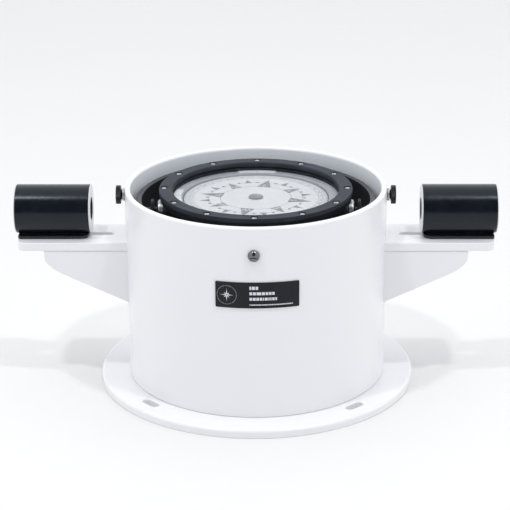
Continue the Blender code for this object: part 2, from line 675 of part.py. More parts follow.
def build_card(card_axis, card_white, grey, brass, magnet_steel):
    """The card on its hub and float, with two magnets along its north-south line, which lies on X."""
    placing = {"place": GIMBAL_CENTRE, "parent": card_axis}
    low, high = CARD_Z
    card_z = (low - GIMBAL_Z, high - GIMBAL_Z)
    plain_ring("compass_card", (HUB_R + GAP, CARD_R), card_z, LARGE, card_white, **placing)
    brim = high + GAP
    hub = [
        (0, STEM_TIP_Z + JEWEL_CLEARANCE),
        (HUB_MOUTH_R, STEM_TIP_Z - HUB_DEPTH),
        (HUB_R, STEM_TIP_Z - HUB_DEPTH),
        (HUB_R, brim),
        (CAP_R, brim),
        (CAP_R, brim + CAP_RIM),
        *[(radius, brim + rise) for radius, rise in CAP_CROWN],
    ]
    turned_solid("card_cap", [(r, z - GIMBAL_Z) for r, z in hub], SMALL, grey, **placing)
    float_profile = [
        (HUB_R + GAP, low - GAP),
        (HUB_R + GAP, FLOAT_SIDE_Z[1]),
        (FLOAT_FOOT_R[0], FLOAT_LOW_Z),
        (FLOAT_FOOT_R[1], FLOAT_LOW_Z),
        (FLOAT_R, FLOAT_SIDE_Z[0]),
        (FLOAT_R, FLOAT_SIDE_Z[1]),
        (FLOAT_TOP_R, low - GAP),
    ]
    turned_ring("card_float", [(r, z - GIMBAL_Z) for r, z in float_profile], MEDIUM, brass, **placing)
    half = MAGNET_LENGTH / 2
    bar = [(0, -half), (MAGNET_R, -half), (MAGNET_R, half), (0, half)]
    for name, y in (("card_magnet_forward", MAGNET_OFFSET), ("card_magnet_after", -MAGNET_OFFSET)):
        bar_placing = {"place": (0, y, MAGNET_Z), "turn": OUTWARD["starboard"], "parent": card_axis}
        turned_solid(name, bar, TINY, magnet_steel, **bar_placing)


def build_knob(side, black, steel):
    """A thumb screw through the tube's wall, with its washer."""
    axis = make_axis(f"knob_{side}_turn", (0, 0, KNOB_Z))
    placing = {"place": (0, 0, KNOB_Z), "turn": OUTWARD[side]}
    near, far = KNOB_SPAN
    tip = TUBE_INNER_R + KNOB_TIP_INSET
    boss = near - KNOB_BOSS_THICK
    profile = [
        (0, tip),
        (BOLT_R, tip),
        (BOLT_R, boss),
        (KNOB_BOSS_R, boss),
        (KNOB_BOSS_R, near),
        (KNOB_R, near),
        (KNOB_R, far - KNOB_CHAMFER[1]),
        (KNOB_R - KNOB_CHAMFER[0], far),
        (0, far),
    ]
    turned_solid(f"side_knob_{side}", profile, SMALL, black, parent=axis, **placing)
    washer_span = (TUBE_OUTER_R + GAP, boss - GAP)
    plain_ring(f"knob_washer_{side}", (BOLT_R + GAP, WASHER_R), washer_span, SMALL, steel, **placing)


def build_label(black):
    """The name plate, bent to the tube."""
    inner = TUBE_OUTER_R + GAP
    low, high = LABEL_Z
    start, end = LABEL_AZIMUTH - LABEL_HALF_ANGLE, LABEL_AZIMUTH + LABEL_HALF_ANGLE
    outline = arc((0, 0), inner + LABEL_THICK, start, end, 12) + arc((0, 0), inner, end, start, 12)
    make_object("label_plate", prism_mesh(outline, low, high), black, smooth=False)


def build_magnet_chamber(white, brass, magnet_steel):
    """The tray on the flange, with the heeling magnet in its bucket, which slides in an upright tube."""
    low = FLANGE_THICK + GAP
    top = low + TRAY_THICK
    plain_ring("magnet_tray", (HEELING_TUBE_R[1], TUBE_INNER_R - 2 * GAP), (low, top), LARGE, white)
    inner, outer = HEELING_TUBE_R
    base = top + GAP
    tube_profile = [
        (inner, base),
        (HEELING_FLANGE_R, base),
        (HEELING_FLANGE_R, base + HEELING_FLANGE_THICK),
        (outer, base + HEELING_FLANGE_THICK),
        (outer, HEELING_TUBE_TOP),
        (inner, HEELING_TUBE_TOP),
    ]
    turned_ring("heeling_tube", tube_profile, SMALL, brass)
    bucket_low, bucket_high = BUCKET_Z
    axis = make_axis("heeling_bucket_slide", (0, 0, bucket_low))
    placing = {"place": axis.location.copy(), "parent": axis}
    depth = bucket_high - bucket_low
    cup = [
        (0, 0),
        (BUCKET_R[1], 0),
        (BUCKET_R[1], depth),
        (BUCKET_R[0], depth),
        (BUCKET_R[0], BUCKET_FLOOR),
        (0, BUCKET_FLOOR),
    ]
    turned_solid("heeling_bucket", cup, SMALL, brass, **placing)
    rod_low, rod_high = BUCKET_FLOOR + GAP, depth - HEELING_MAGNET_INSET
    rod = [(0, rod_low), (HEELING_MAGNET_R, rod_low), (HEELING_MAGNET_R, rod_high), (0, rod_high)]
    turned_solid("heeling_magnet", rod, TINY, magnet_steel, **placing)


def main():
    clear_scene()
    white_paint = make_material("white_paint", (0.82, 0.83, 0.86), 0.30)
    black_paint = make_material("black_paint", (0.012, 0.013, 0.016), 0.32)
    bezel_black = make_material("satin_black", (0.035, 0.036, 0.042), 0.42)
    ring_paint = make_material("ring_black", (0.030, 0.032, 0.038), 0.40)
    plate_grey = make_material("plate_grey", (0.30, 0.31, 0.35), 0.45)
    card_white = make_material("card_white", (0.72, 0.74, 0.78), 0.50)
    steel = make_material("stainless_steel", (0.62, 0.62, 0.64), 0.22, 1.0)
    brass = make_material("brass", (0.60, 0.42, 0.18), 0.30, 1.0)
    magnet_steel = make_material("magnet_steel", (0.25, 0.25, 0.27), 0.35, 1.0)
    lead = make_material("lead", (0.22, 0.23, 0.25), 0.55, 1.0)
    rubber = make_material("rubber", (0.02, 0.02, 0.02), 0.70)
    glass = make_material("glass", (0.90, 0.93, 0.95), 0.03)
    label_black = make_material("label_black", (0.015, 0.016, 0.022), 0.25)

    build_binnacle(white_paint)
    for side, sign in SIDES.items():
        build_bracket(side, sign, white_paint)
        build_corrector(side, sign, black_paint, white_paint, steel)
        build_knob(side, black_paint, steel)
    build_label(label_black)
    build_magnet_chamber(white_paint, brass, magnet_steel)

    ring_axis = make_axis("gimbal_ring_tilt", GIMBAL_CENTRE)
    bowl_axis = make_axis("bowl_tilt", GIMBAL_CENTRE)
    card_axis = make_axis("card_turn", GIMBAL_CENTRE)
    build_gimbal_ring(ring_axis, ring_paint, brass, steel)
    build_bowl(bowl_axis, bezel_black, steel, brass, glass, rubber, lead)
    build_lubber(bowl_axis, plate_grey, white_paint)
    build_card(card_axis, card_white, plate_grey, brass, magnet_steel)


main()
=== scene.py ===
"""The looks of a ship's compass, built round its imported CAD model.

Metres, +Z up, +X to starboard, +Y ahead, the origin on the tube's axis under the flange. A piece's mesh
lies in that frame and its object sits at the origin, apart from the bezel's screws, which share one mesh.
"""

import json
import math

import bmesh
import bpy
from mathutils import Matrix, Vector

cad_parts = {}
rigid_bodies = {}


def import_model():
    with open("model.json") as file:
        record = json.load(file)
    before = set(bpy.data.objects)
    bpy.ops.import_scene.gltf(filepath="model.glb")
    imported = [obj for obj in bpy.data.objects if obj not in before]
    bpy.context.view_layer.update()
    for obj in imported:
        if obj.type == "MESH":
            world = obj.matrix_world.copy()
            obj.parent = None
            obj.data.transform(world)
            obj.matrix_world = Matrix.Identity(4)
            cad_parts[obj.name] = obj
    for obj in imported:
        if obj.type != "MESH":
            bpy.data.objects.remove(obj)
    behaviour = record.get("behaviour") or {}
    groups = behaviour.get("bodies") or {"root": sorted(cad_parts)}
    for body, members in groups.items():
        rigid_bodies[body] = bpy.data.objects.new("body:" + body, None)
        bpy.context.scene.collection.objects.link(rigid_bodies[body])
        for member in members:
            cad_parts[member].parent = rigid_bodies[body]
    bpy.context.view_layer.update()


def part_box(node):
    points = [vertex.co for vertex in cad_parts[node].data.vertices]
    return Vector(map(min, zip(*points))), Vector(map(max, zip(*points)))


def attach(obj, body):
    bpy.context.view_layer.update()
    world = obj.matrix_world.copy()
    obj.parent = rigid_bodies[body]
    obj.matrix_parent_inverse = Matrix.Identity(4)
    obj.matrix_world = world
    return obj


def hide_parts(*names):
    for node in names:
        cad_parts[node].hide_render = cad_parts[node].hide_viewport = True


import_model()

# Sizes that a node's box doesn't give, as in the CAD source
FLANGE_INNER_R = 0.1180
FLANGE_EDGE_R = 0.0030
FLANGE_SLOT = (0.0220, 0.0090)
FLANGE_SLOT_R = 0.1480
FLANGE_SLOT_AZIMUTH = 43.3
TUBE_INNER_R = 0.1308
SHELF_CORNER_R = 0.0095
SHELF_SLOT_X = (0.1505, 0.2330)
SHELF_SLOT_WIDTH = 0.0076
CHEEK_DROP_Z = 0.1430
CHEEK_KNEE = (0.2000, 0.1224)
CHEEK_FOOT = (0.1340, 0.0916)
CORE_BORE_R = 0.01125
CRADLE_HALF_WIDTH = 0.0100
FOOT_THICK = 0.0030
FOOT_INNER_CORNER_R = 0.0085
FOOT_OUTER_CORNER_R = 0.0025
GIMBAL_Z = 0.1840
RING_INNER_R = 0.1193
PIVOT_R = 0.0035
BOLT_R = 0.0030
BEZEL_INNER_R = 0.0868
SCREW_COUNT = 12
SCREW_CIRCLE_R = 0.0957
SCREW_RECESS_R = 0.0040
SCREW_RECESS_DEPTH = 0.0014
SCREW_HOLE_R = 0.0021
BOWL_R = 0.0970
BOWL_HOLE_R = 0.0053
BOWL_LEDGE_R = 0.0840
BOWL_RIM_R = 0.1000
BREATHER_R = 0.0015
BREATHER_PLACE = (0.0470, 0.0046)
LABEL_AZIMUTH = math.radians(-88.6)
LABEL_HALF_WIDTH = 0.0420
LUBBER_PLATE_R = (0.0782, 0.0862)
CARD_NORTH = 167.4
CARD_BORE_R = 0.0043
HEELING_TUBE_R = (0.0145, 0.0167)

# The gap that touching pieces keep, and the finish of screws and grips
GAP = 0.0003
THREAD_LEAD, THREAD_PITCH, THREAD_DEPTH, THREAD_TURNS = 0.0006, 0.0007, 0.00035, 5
KNURL_BAND, KNURL_DEPTH = 0.0009, 0.0004
MARK_SINK = 0.00005
ON_AXIS = 1e-7

# Sides of a turned piece, and the angles in degrees past which an edge stays sharp
ROUND = 256
FLANGE_ROUND = 320
RING_ROUND = 288
SMALL_ROUND = 64
SMOOTH_ANGLE = 32
KNURL_ANGLE = 60

# The studio
FLOOR_REACH, FLOOR_THICK = 14.0, 0.02
SOFTBOX_PLACE = (0.72, -0.66, 2.2)
SOFTBOX_TARGET = (0, 0, 0.12)
SOFTBOX_SIZE, SOFTBOX_POWER = 0.12, 10.0
DOME_DARK = (0.03, 0.05, 0.09, 1)
DOME_PALE = (0.99, 1.0, 1.03, 1)
DOME_LEVEL = 1.12
DARK_X, DARK_Y, DARK_Z = (0.20, 0.45), (-0.40, 0.0), (0.84, 0.95)
CAMERA_LENS = 128.53
CAMERA_PLACE = (0.0315, -1.8073, 0.8062)
CAMERA_TURNS = ((1.038, "Z"), (69.60, "X"), (-0.36, "Z"))

OUTWARD = {
    "starboard": Matrix.Rotation(math.pi / 2, 4, "Y"), "port": Matrix.Rotation(-math.pi / 2, 4, "Y"),
    "ahead": Matrix.Rotation(-math.pi / 2, 4, "X"), "astern": Matrix.Rotation(math.pi / 2, 4, "X")
}
SIDES = {"port": -1, "starboard": 1}


# ---------------------------------------------------------------- geometry


def starts_on_axis(profile):
    """Whether a profile is open, running from the axis back to it, rather than a closed ring."""
    return abs(profile[0][0]) < ON_AXIS


def turned(profile, sides=ROUND, knurl=None):
    """A profile of (radius, height) points spun about Z. An open one starts and ends on the axis."""
    verts, rings = [], []
    for radius, height in profile:
        count = sides if radius > ON_AXIS else 1
        rings.append([len(verts) + index for index in range(count)])
        for index in range(count):
            angle = math.tau * index / sides
            reach = knurl(radius, index) if knurl else radius
            verts.append((reach * math.cos(angle), reach * math.sin(angle), height))
    pairs = list(zip(rings, rings[1:]))
    if not starts_on_axis(profile):
        pairs.append((rings[-1], rings[0]))
    faces = []
    for lower, upper in pairs:
        if len(lower) + len(upper) == 2:
            continue
        for index in range(sides):
            following = (index + 1) % sides
            corners = (
                lower[index % len(lower)], lower[following % len(lower)], upper[following % len(upper)],
                upper[index % len(upper)]
            )
            faces.append(tuple(dict.fromkeys(corners)))
    return verts, faces


def rounded(profile, radius, steps=3):
    """The profile with each corner rounded, by less where edges are short. An open one keeps its ends."""
    result = []
    count = len(profile)
    for index, point in enumerate(profile):
        if starts_on_axis(profile) and index in (0, count - 1):
            result.append(point)
            continue
        here = Vector(point)
        before = Vector(profile[index - 1]) - here
        after = Vector(profile[(index + 1) % count]) - here
        if before.angle(after) > math.radians(160):
            result.append(point)
            continue
        reach = min(radius, 0.45 * before.length, 0.45 * after.length)
        start, end = here + before.normalized() * reach, here + after.normalized() * reach
        for step in range(steps + 1):
            t = step / steps
            result.append(tuple((1 - t) ** 2 * start + 2 * t * (1 - t) * here + t * t * end))
    return result


def ellipse(centre, across, upward, start, end, steps):
    """Points of an ellipse's arc, in degrees."""
    angles = [math.radians(start + (end - start) * step / steps) for step in range(steps + 1)]
    return [(centre[0] + across * math.cos(a), centre[1] + upward * math.sin(a)) for a in angles]


def arc(centre, radius, start, end, steps):
    """Points of an arc, in degrees."""
    return ellipse(centre, radius, radius, start, end, steps)


def band(inner, outer, low, high):
    """A rectangle's corners as (across, up), from its low inner one."""
    return [(inner, low), (outer, low), (outer, high), (inner, high)]


def heading(angle):
    """A step of one in a direction given in radians."""
    return Vector((math.cos(angle), math.sin(angle)))


def capsule(length, width, steps=12):
    """A slot's outline along X, with round ends."""
    reach = (length - width) / 2
    return arc((reach, 0), width / 2, -90, 90, steps) + arc((-reach, 0), width / 2, 90, 270, steps)


def rounded_rectangle(low, high, low_radius, high_radius, steps=12):
    """A rectangle's outline with one corner radius at its low X end and another at its high X end."""
    corners = [
        ((high[0] - high_radius, low[1] + high_radius), high_radius, -90),
        ((high[0] - high_radius, high[1] - high_radius), high_radius, 0),
        ((low[0] + low_radius, high[1] - low_radius), low_radius, 90),
        ((low[0] + low_radius, low[1] + low_radius), low_radius, 180)
    ]
    quarters = [arc(centre, radius, start, start + 90, steps) for centre, radius, start in corners]
    return [point for quarter in quarters for point in quarter]


def prism(outline, low, high):
    """A convex outline in the XY plane pulled up from low to high."""
    count = len(outline)
    verts = [(x, y, low) for x, y in outline] + [(x, y, high) for x, y in outline]
    faces = [tuple(range(count)), tuple(range(count, 2 * count))]
    for index in range(count):
        following = (index + 1) % count
        faces.append((index, following, following + count, index + count))
    return verts, faces


def loft(sections):
    """Closed sections of equal length joined one to the next, with the first and last capped."""
    count = len(sections[0])
    verts = [point for section in sections for point in section]
    faces = [tuple(range(count)), tuple(range(len(verts) - count, len(verts)))]
    for row in range(len(sections) - 1):
        for index in range(count):
            following = (index + 1) % count
            near, far = row * count, (row + 1) * count
            faces.append((near + index, near + following, far + following, far + index))
    return verts, faces


def moved(geometry, matrix):
    verts, faces = geometry
    return [tuple(matrix @ Vector(co)) for co in verts], faces


def joined(parts):
    verts, faces = [], []
    for part_verts, part_faces in parts:
        start = len(verts)
        verts.extend(part_verts)
        faces.extend(tuple(start + index for index in face) for face in part_faces)
    return verts, faces


def from_curve(data):
    """The mesh of a filled curve or a text, its doubled points merged."""
    obj = bpy.data.objects.new("outline", data)
    bpy.context.scene.collection.objects.link(obj)
    graph = bpy.context.evaluated_depsgraph_get()
    mesh = bpy.data.meshes.new_from_object(obj.evaluated_get(graph), depsgraph=graph)
    bpy.data.objects.remove(obj)
    bm = bmesh.new()
    bm.from_mesh(mesh)
    bpy.data.meshes.remove(mesh)
    bmesh.ops.remove_doubles(bm, verts=bm.verts, dist=1e-6)
    bm.verts.index_update()
    geometry = [tuple(vert.co) for vert in bm.verts], [
        tuple(v.index for v in face.verts) for face in bm.faces
    ]
    bm.free()
    return geometry


def plate(outlines, low, high, edge):
    """A plate of the first outline, its edges rounded, with the others as holes that run the other way."""
    data = bpy.data.curves.new("outline", "CURVE")
    data.dimensions = "2D"
    data.fill_mode = "BOTH"
    data.extrude = (high - low) / 2 - edge
    data.bevel_depth = edge
    data.bevel_resolution = 2
    data.offset = -edge
    for index, outline in enumerate(outlines):
        points = outline[::-1] if index else outline
        spline = data.splines.new("POLY")
        spline.points.add(len(points) - 1)
        spline.use_cyclic_u = True
        for target, (x, y) in zip(spline.points, points):
            target.co = (x, y, 0, 1)
    return moved(from_curve(data), Matrix.Translation((0, 0, (low + high) / 2)))


def lettering(text, height, thickness):
    """Text centred on the origin in the XY plane, from z = 0 up."""
    data = bpy.data.curves.new("letters", "FONT")
    data.body = text
    data.size = height / 0.7
    data.align_x = "CENTER"
    data.extrude = thickness / 2
    data.resolution_u = 4
    return moved(from_curve(data), Matrix.Translation((0, -height / 2, thickness / 2)))


def build_mesh(name, geometry, smooth_angle=SMOOTH_ANGLE):
    """A mesh with its faces pointing out, smooth but for edges sharper than the angle."""
    mesh = bpy.data.meshes.new(name)
    verts, faces = geometry
    mesh.from_pydata(verts, [], faces)
    tidy_mesh(mesh, smooth_angle)
    return mesh


def tidy_mesh(mesh, smooth_angle=SMOOTH_ANGLE):
    bm = bmesh.new()
    bm.from_mesh(mesh)
    bmesh.ops.recalc_face_normals(bm, faces=bm.faces)
    if bm.calc_volume(signed=True) < 0:
        bmesh.ops.reverse_faces(bm, faces=bm.faces)
    bm.to_mesh(mesh)
    bm.free()
    mesh.shade_smooth()
    mesh.set_sharp_from_angle(angle=math.radians(smooth_angle))


def add_piece(name, mesh, material, body, slot=None, stands_for=(), matrix=None):
    """Puts a mesh in the scene as a piece that rides on a body."""
    if not mesh.materials:
        mesh.materials.append(material)
    obj = bpy.data.objects.new(name, mesh)
    bpy.context.scene.collection.objects.link(obj)
    if matrix:
        obj.matrix_world = matrix
    weighted = obj.modifiers.new("even_normals", "WEIGHTED_NORMAL")
    weighted.keep_sharp = True
    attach(obj, body)
    if stands_for:
        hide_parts(*stands_for)
    return obj


def add_shape(name, geometry, *details, smooth_angle=SMOOTH_ANGLE):
    """Adds geometry as a piece, its mesh named like it. The details go on to add_piece."""
    return add_piece(name, build_mesh(name, geometry, smooth_angle), *details)


def refine(node, geometry, *details, smooth_angle=SMOOTH_ANGLE):
    """Adds the fine piece that stands for a CAD node."""
    return add_shape(f"{node}_fine", geometry, *details, [node], smooth_angle=smooth_angle)


def cut(mesh, cutters):
    """Cuts the closed cutters out of a mesh and returns the result."""
    objects = bpy.context.scene.collection.objects
    target = bpy.data.objects.new("target", mesh)
    tool = bpy.data.objects.new("tool", build_mesh("tool", joined(cutters)))
    objects.link(target)
    objects.link(tool)
    boolean = target.modifiers.new("cut", "BOOLEAN")
    boolean.operation = "DIFFERENCE"
    boolean.solver = "EXACT"
    boolean.object = tool
    graph = bpy.context.evaluated_depsgraph_get()
    result = bpy.data.meshes.new_from_object(target.evaluated_get(graph), depsgraph=graph)
    name = mesh.name
    bpy.data.objects.remove(target)
    bpy.data.objects.remove(tool)
    bpy.data.meshes.remove(mesh)
    result.name = name
    tidy_mesh(result)
    return result


def span(node, axis):
    """The lowest and highest value of a node along X, Y or Z."""
    low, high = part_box(node)
    index = "XYZ".index(axis)
    return low[index], high[index]


def extent(node, axis):
    """How near the origin and how far from it a node lies along an axis, to one side of it."""
    return sorted(abs(value) for value in span(node, axis))


# ---------------------------------------------------------------- materials


def add_node(tree, kind, **values):
    node = tree.nodes.new(kind)
    for key, value in values.items():
        if key in node.inputs:
            node.inputs[key].default_value = value
        else:
            setattr(node, key, value)
    return node


def add_noise(tree, vector, scale, detail=3.0, rough=0.55):
    noise = add_node(tree, "ShaderNodeTexNoise", Scale=scale, Detail=detail, Roughness=rough)
    tree.links.new(vector, noise.inputs["Vector"])
    return noise.outputs["Fac"]


def ranged(tree, value, low, high, source=(0.3, 0.7)):
    """The value's source range stretched to run from low to high."""
    node = tree.nodes.new("ShaderNodeMapRange")
    for key, number in zip(("From Min", "From Max", "To Min", "To Max"), (*source, low, high)):
        node.inputs[key].default_value = number
    tree.links.new(value, node.inputs["Value"])
    return node.outputs["Result"]


def turning_coordinates(tree, vector, axis, centre):
    """Coordinates of (radius, height) about an axis, which draw the fine rings that a lathe leaves."""
    shifted = add_node(tree, "ShaderNodeVectorMath", operation="SUBTRACT")
    tree.links.new(vector, shifted.inputs[0])
    shifted.inputs[1].default_value = centre
    split = tree.nodes.new("ShaderNodeSeparateXYZ")
    tree.links.new(shifted.outputs[0], split.inputs[0])
    across = [name for name in "XYZ" if name != axis]
    flat = tree.nodes.new("ShaderNodeCombineXYZ")
    for target, source in zip("XY", across):
        tree.links.new(split.outputs[source], flat.inputs[target])
    length = add_node(tree, "ShaderNodeVectorMath", operation="LENGTH")
    tree.links.new(flat.outputs[0], length.inputs[0])
    result = tree.nodes.new("ShaderNodeCombineXYZ")
    tree.links.new(length.outputs["Value"], result.inputs["X"])
    tree.links.new(split.outputs[axis], result.inputs["Y"])
    return result.outputs[0]


def finish(
    name, colour, roughness, metallic=0.0, mottle=(14.0, 0.03), gloss=(40.0, 0.05), grain=(500.0, 0.00002),
    stretch=(1, 1, 1), turned_about=None, scratches=None, **sockets
):
    """A Principled material whose colour, roughness and bump vary, each by (scale per metre, amount)."""
    material = bpy.data.materials.new(name)
    material.use_nodes = True
    tree = material.node_tree
    shader = tree.nodes["Principled BSDF"]
    shader.inputs["Metallic"].default_value = metallic
    for key, value in sockets.items():
        shader.inputs[key.replace("_", " ")].default_value = value
    place = tree.nodes.new("ShaderNodeTexCoord").outputs["Object"]
    mapping = add_node(tree, "ShaderNodeMapping", Scale=stretch)
    tree.links.new(place, mapping.inputs["Vector"])
    stretched = mapping.outputs["Vector"]

    mix = add_node(tree, "ShaderNodeMix", data_type="RGBA")
    for socket, share in ((mix.inputs[6], 1 - mottle[1]), (mix.inputs[7], 1 + mottle[1])):
        socket.default_value = (*(channel * share for channel in colour), 1)
    tree.links.new(ranged(tree, add_noise(tree, place, mottle[0]), 0, 1), mix.inputs["Factor"])
    tree.links.new(mix.outputs[2], shader.inputs["Base Color"])

    uneven = add_noise(tree, stretched, gloss[0], detail=5.0)
    low, high = roughness - gloss[1], roughness + gloss[1]
    tree.links.new(ranged(tree, uneven, low, high), shader.inputs["Roughness"])

    where = turning_coordinates(tree, place, *turned_about) if turned_about else stretched
    bump = add_node(tree, "ShaderNodeBump", Strength=1.0, Distance=grain[1])
    tree.links.new(add_noise(tree, where, grain[0]), bump.inputs["Height"])
    if scratches:
        second = add_node(tree, "ShaderNodeBump", Strength=1.0, Distance=scratches[1])
        tree.links.new(add_noise(tree, place, scratches[0], detail=6.0), second.inputs["Height"])
        tree.links.new(bump.outputs["Normal"], second.inputs["Normal"])
        bump = second
    tree.links.new(bump.outputs["Normal"], shader.inputs["Normal"])
    return material


WHITE_PAINT = finish(
    "white_paint", (0.845, 0.85, 0.862), 0.27, mottle=(6, 0.003), gloss=(7, 0.004), grain=(900, 0.000004)
)
# Painted light: a brighter, bluer copy of the white paint, put on the tube's inner wall to lighten it; the
# real tube is one white all through
INNER_PAINTED_LIGHT = finish(
    "inner_painted_light", (0.91, 0.955, 0.99), 0.40, mottle=(9, 0.003), gloss=(30, 0.015), grain=(900, 0.000008)
)
CORE_PAINT = finish("core_paint", (0.70, 0.705, 0.72), 0.38, mottle=(90, 0.04), grain=(700, 0.00005))
# Painted shade: near-black for the inside of the corrector core's bore and its rounded lip, where the hole
# falls into shade
BORE_PAINTED_SHADE = finish("bore_painted_shade", (0.008, 0.008, 0.010), 0.60, mottle=(120, 0.2), grain=(900, 0.00006))
SLEEVE_BLACK = finish(
    "sleeve_black", (0.006, 0.0065, 0.009), 0.21, mottle=(60, 0.25), gloss=(160, 0.05), grain=(1400, 0.00002),
    scratches=(300, 0.00003), Specular_IOR_Level=0.36, Specular_Tint=(0.76, 0.88, 1.0, 1.0)
)
FOOT_BLACK = finish("foot_black", (0.018, 0.020, 0.026), 0.30, mottle=(60, 0.25), grain=(1600, 0.00004))
BEZEL_BLACK = finish(
    "bezel_black", (0.044, 0.048, 0.060), 0.50, mottle=(45, 0.15), gloss=(90, 0.06), grain=(2600, 0.00003),
    Specular_IOR_Level=0.06, Specular_Tint=(0.84, 0.91, 1.0, 1.0)
)
BOWL_BLACK = finish("bowl_black", (0.010, 0.011, 0.015), 0.42, mottle=(45, 0.2), grain=(1800, 0.00004))
RING_BLACK = finish("ring_black", (0.022, 0.024, 0.030), 0.38, mottle=(50, 0.2), grain=(1800, 0.00004))
NUT_BLACK = finish("nut_black", (0.012, 0.012, 0.015), 0.36, mottle=(200, 0.25), grain=(2600, 0.00003))
STEEL_DETAIL = dict(mottle=(120, 0.06), gloss=(300, 0.05), grain=(9000, 0.000004))
STEEL = finish("steel", (0.63, 0.63, 0.65), 0.20, metallic=1.0, **STEEL_DETAIL)
STEEL_CROSSWISE = finish(
    "steel_crosswise", (0.50, 0.50, 0.52), 0.30, metallic=1.0, turned_about=("X", (0, 0, GIMBAL_Z)),
    **STEEL_DETAIL
)
ZINC = finish(
    "zinc", (0.42, 0.42, 0.44), 0.46, metallic=1.0, mottle=(400, 0.10), gloss=(500, 0.06),
    grain=(2500, 0.00002)
)
# Painted shade: a much darker copy of the steel, standing in for dark surroundings mirrored in the ring
# pivots' domed heads and their nuts
STEEL_LENGTHWISE_PAINTED_SHADE = finish(
    "steel_lengthwise_painted_shade", (0.20, 0.19, 0.20), 0.18, metallic=1.0, turned_about=("Y", (0, 0, GIMBAL_Z)),
    **STEEL_DETAIL
)
BRASS = finish("brass", (0.60, 0.42, 0.18), 0.28, metallic=1.0, mottle=(80, 0.08), grain=(6000, 0.000006))
MAGNET_STEEL = finish("magnet_steel", (0.25, 0.25, 0.27), 0.36, metallic=1.0, mottle=(150, 0.12))
LEAD = finish("lead", (0.22, 0.23, 0.25), 0.55, metallic=1.0, mottle=(90, 0.15), grain=(900, 0.00008))
RUBBER = finish("rubber", (0.020, 0.020, 0.021), 0.70, mottle=(200, 0.2), grain=(2500, 0.00005))
PLATE_GREY = finish("plate_grey", (0.140, 0.149, 0.175), 0.48, mottle=(60, 0.05), grain=(3000, 0.00002))
CARD_WHITE = finish("card_white", (0.435, 0.44, 0.45), 0.52, mottle=(70, 0.02), grain=(2600, 0.00002))
CAP_GREY = finish("cap_grey", (0.052, 0.053, 0.059), 0.40, mottle=(200, 0.06), grain=(4000, 0.00001))
CARD_INK = finish("card_ink", (0.045, 0.048, 0.060), 0.55, mottle=(300, 0.2), grain=(4000, 0.00001))
PLATE_WHITE = finish("plate_white", (0.47, 0.485, 0.51), 0.45, mottle=(80, 0.02), grain=(3000, 0.00002))
LABEL_BLACK = finish(
    "label_black", (0.010, 0.010, 0.014), 0.36, mottle=(50, 0.15), stretch=(1, 1, 12), grain=(900, 0.00001),
    Specular_IOR_Level=0.24
)
LABEL_WHITE = finish("label_white", (0.70, 0.71, 0.74), 0.45, mottle=(200, 0.04), grain=(3000, 0.00001))
FLOOR_WHITE = finish("floor_white", (0.79, 0.785, 0.778), 0.55, mottle=(3, 0.006), grain=(300, 0.00003))
GLASS = finish(
    "glass", (0.93, 0.95, 0.96), 0.02, mottle=(20, 0.01), gloss=(25, 0.012), grain=(40, 0.0000004),
    Transmission_Weight=1.0, IOR=1.20
)


# ---------------------------------------------------------------- tube and flange


def build_flange():
    low, high = span("base_flange", "Z")
    outer = span("base_flange", "X")[1]
    edge = arc((outer - FLANGE_EDGE_R, high - FLANGE_EDGE_R), FLANGE_EDGE_R, 0, 90, 8)
    profile = [
        (FLANGE_INNER_R, low), (outer - 0.0005, low), (outer, low + 0.0005), *edge, (FLANGE_INNER_R, high)
    ]
    mesh = build_mesh("base_flange_painted", turned(profile, FLANGE_ROUND))
    length, width = FLANGE_SLOT
    chamfer = 0.0007
    cutters = []
    for index in range(4):
        azimuth = math.radians(FLANGE_SLOT_AZIMUTH + 90 * index)
        sections = [
            (length, width, low - 0.01), (length, width, high - chamfer),
            (length + 2 * chamfer, width + 2 * chamfer, high),
            (length + 2 * chamfer, width + 2 * chamfer, high + 0.01)
        ]
        slot = loft([[(x, y, z) for x, y in capsule(l, w)] for l, w, z in sections])
        centre = (FLANGE_SLOT_R * math.cos(azimuth), FLANGE_SLOT_R * math.sin(azimuth), 0)
        cutters.append(
            moved(slot, Matrix.Translation(centre) @ Matrix.Rotation(azimuth + math.pi / 2, 4, "Z"))
        )
    add_piece(
        "base_flange_painted", cut(mesh, cutters), WHITE_PAINT, "binnacle", "white_paint", ["base_flange"]
    )


def build_tube():
    low, high = span("binnacle_tube", "Z")
    outer = span("binnacle_tube", "X")[1]
    lip_r = (outer - TUBE_INNER_R) / 2
    lip = arc((TUBE_INNER_R + lip_r, high - lip_r), lip_r, 0, 180, 16)
    profile = [(TUBE_INNER_R, low), (outer - 0.0004, low), (outer, low + 0.0004), *lip]
    mesh = build_mesh("tube_painted", turned(profile, FLANGE_ROUND))
    cutters = []
    for direction, turn in OUTWARD.items():
        across = direction in SIDES
        height = sum(span("side_knob_port", "Z")) / 2 if across else GIMBAL_Z
        radius = (BOLT_R if across else PIVOT_R) + GAP
        hole = turned(band(0, radius, 0.12, 0.15), 32)
        cutters.append(moved(hole, Matrix.Translation((0, 0, height)) @ turn))
    tube = cut(mesh, cutters)
    tube.materials.append(WHITE_PAINT)
    tube.materials.append(INNER_PAINTED_LIGHT)
    # Faces on the inner wall take the painted-light copy of the white paint
    for face in tube.polygons:
        if math.hypot(face.center.x, face.center.y) < TUBE_INNER_R + 0.0001:
            face.material_index = 1
    add_piece("tube_painted", tube, WHITE_PAINT, "binnacle", "white_paint", ["binnacle_tube"])


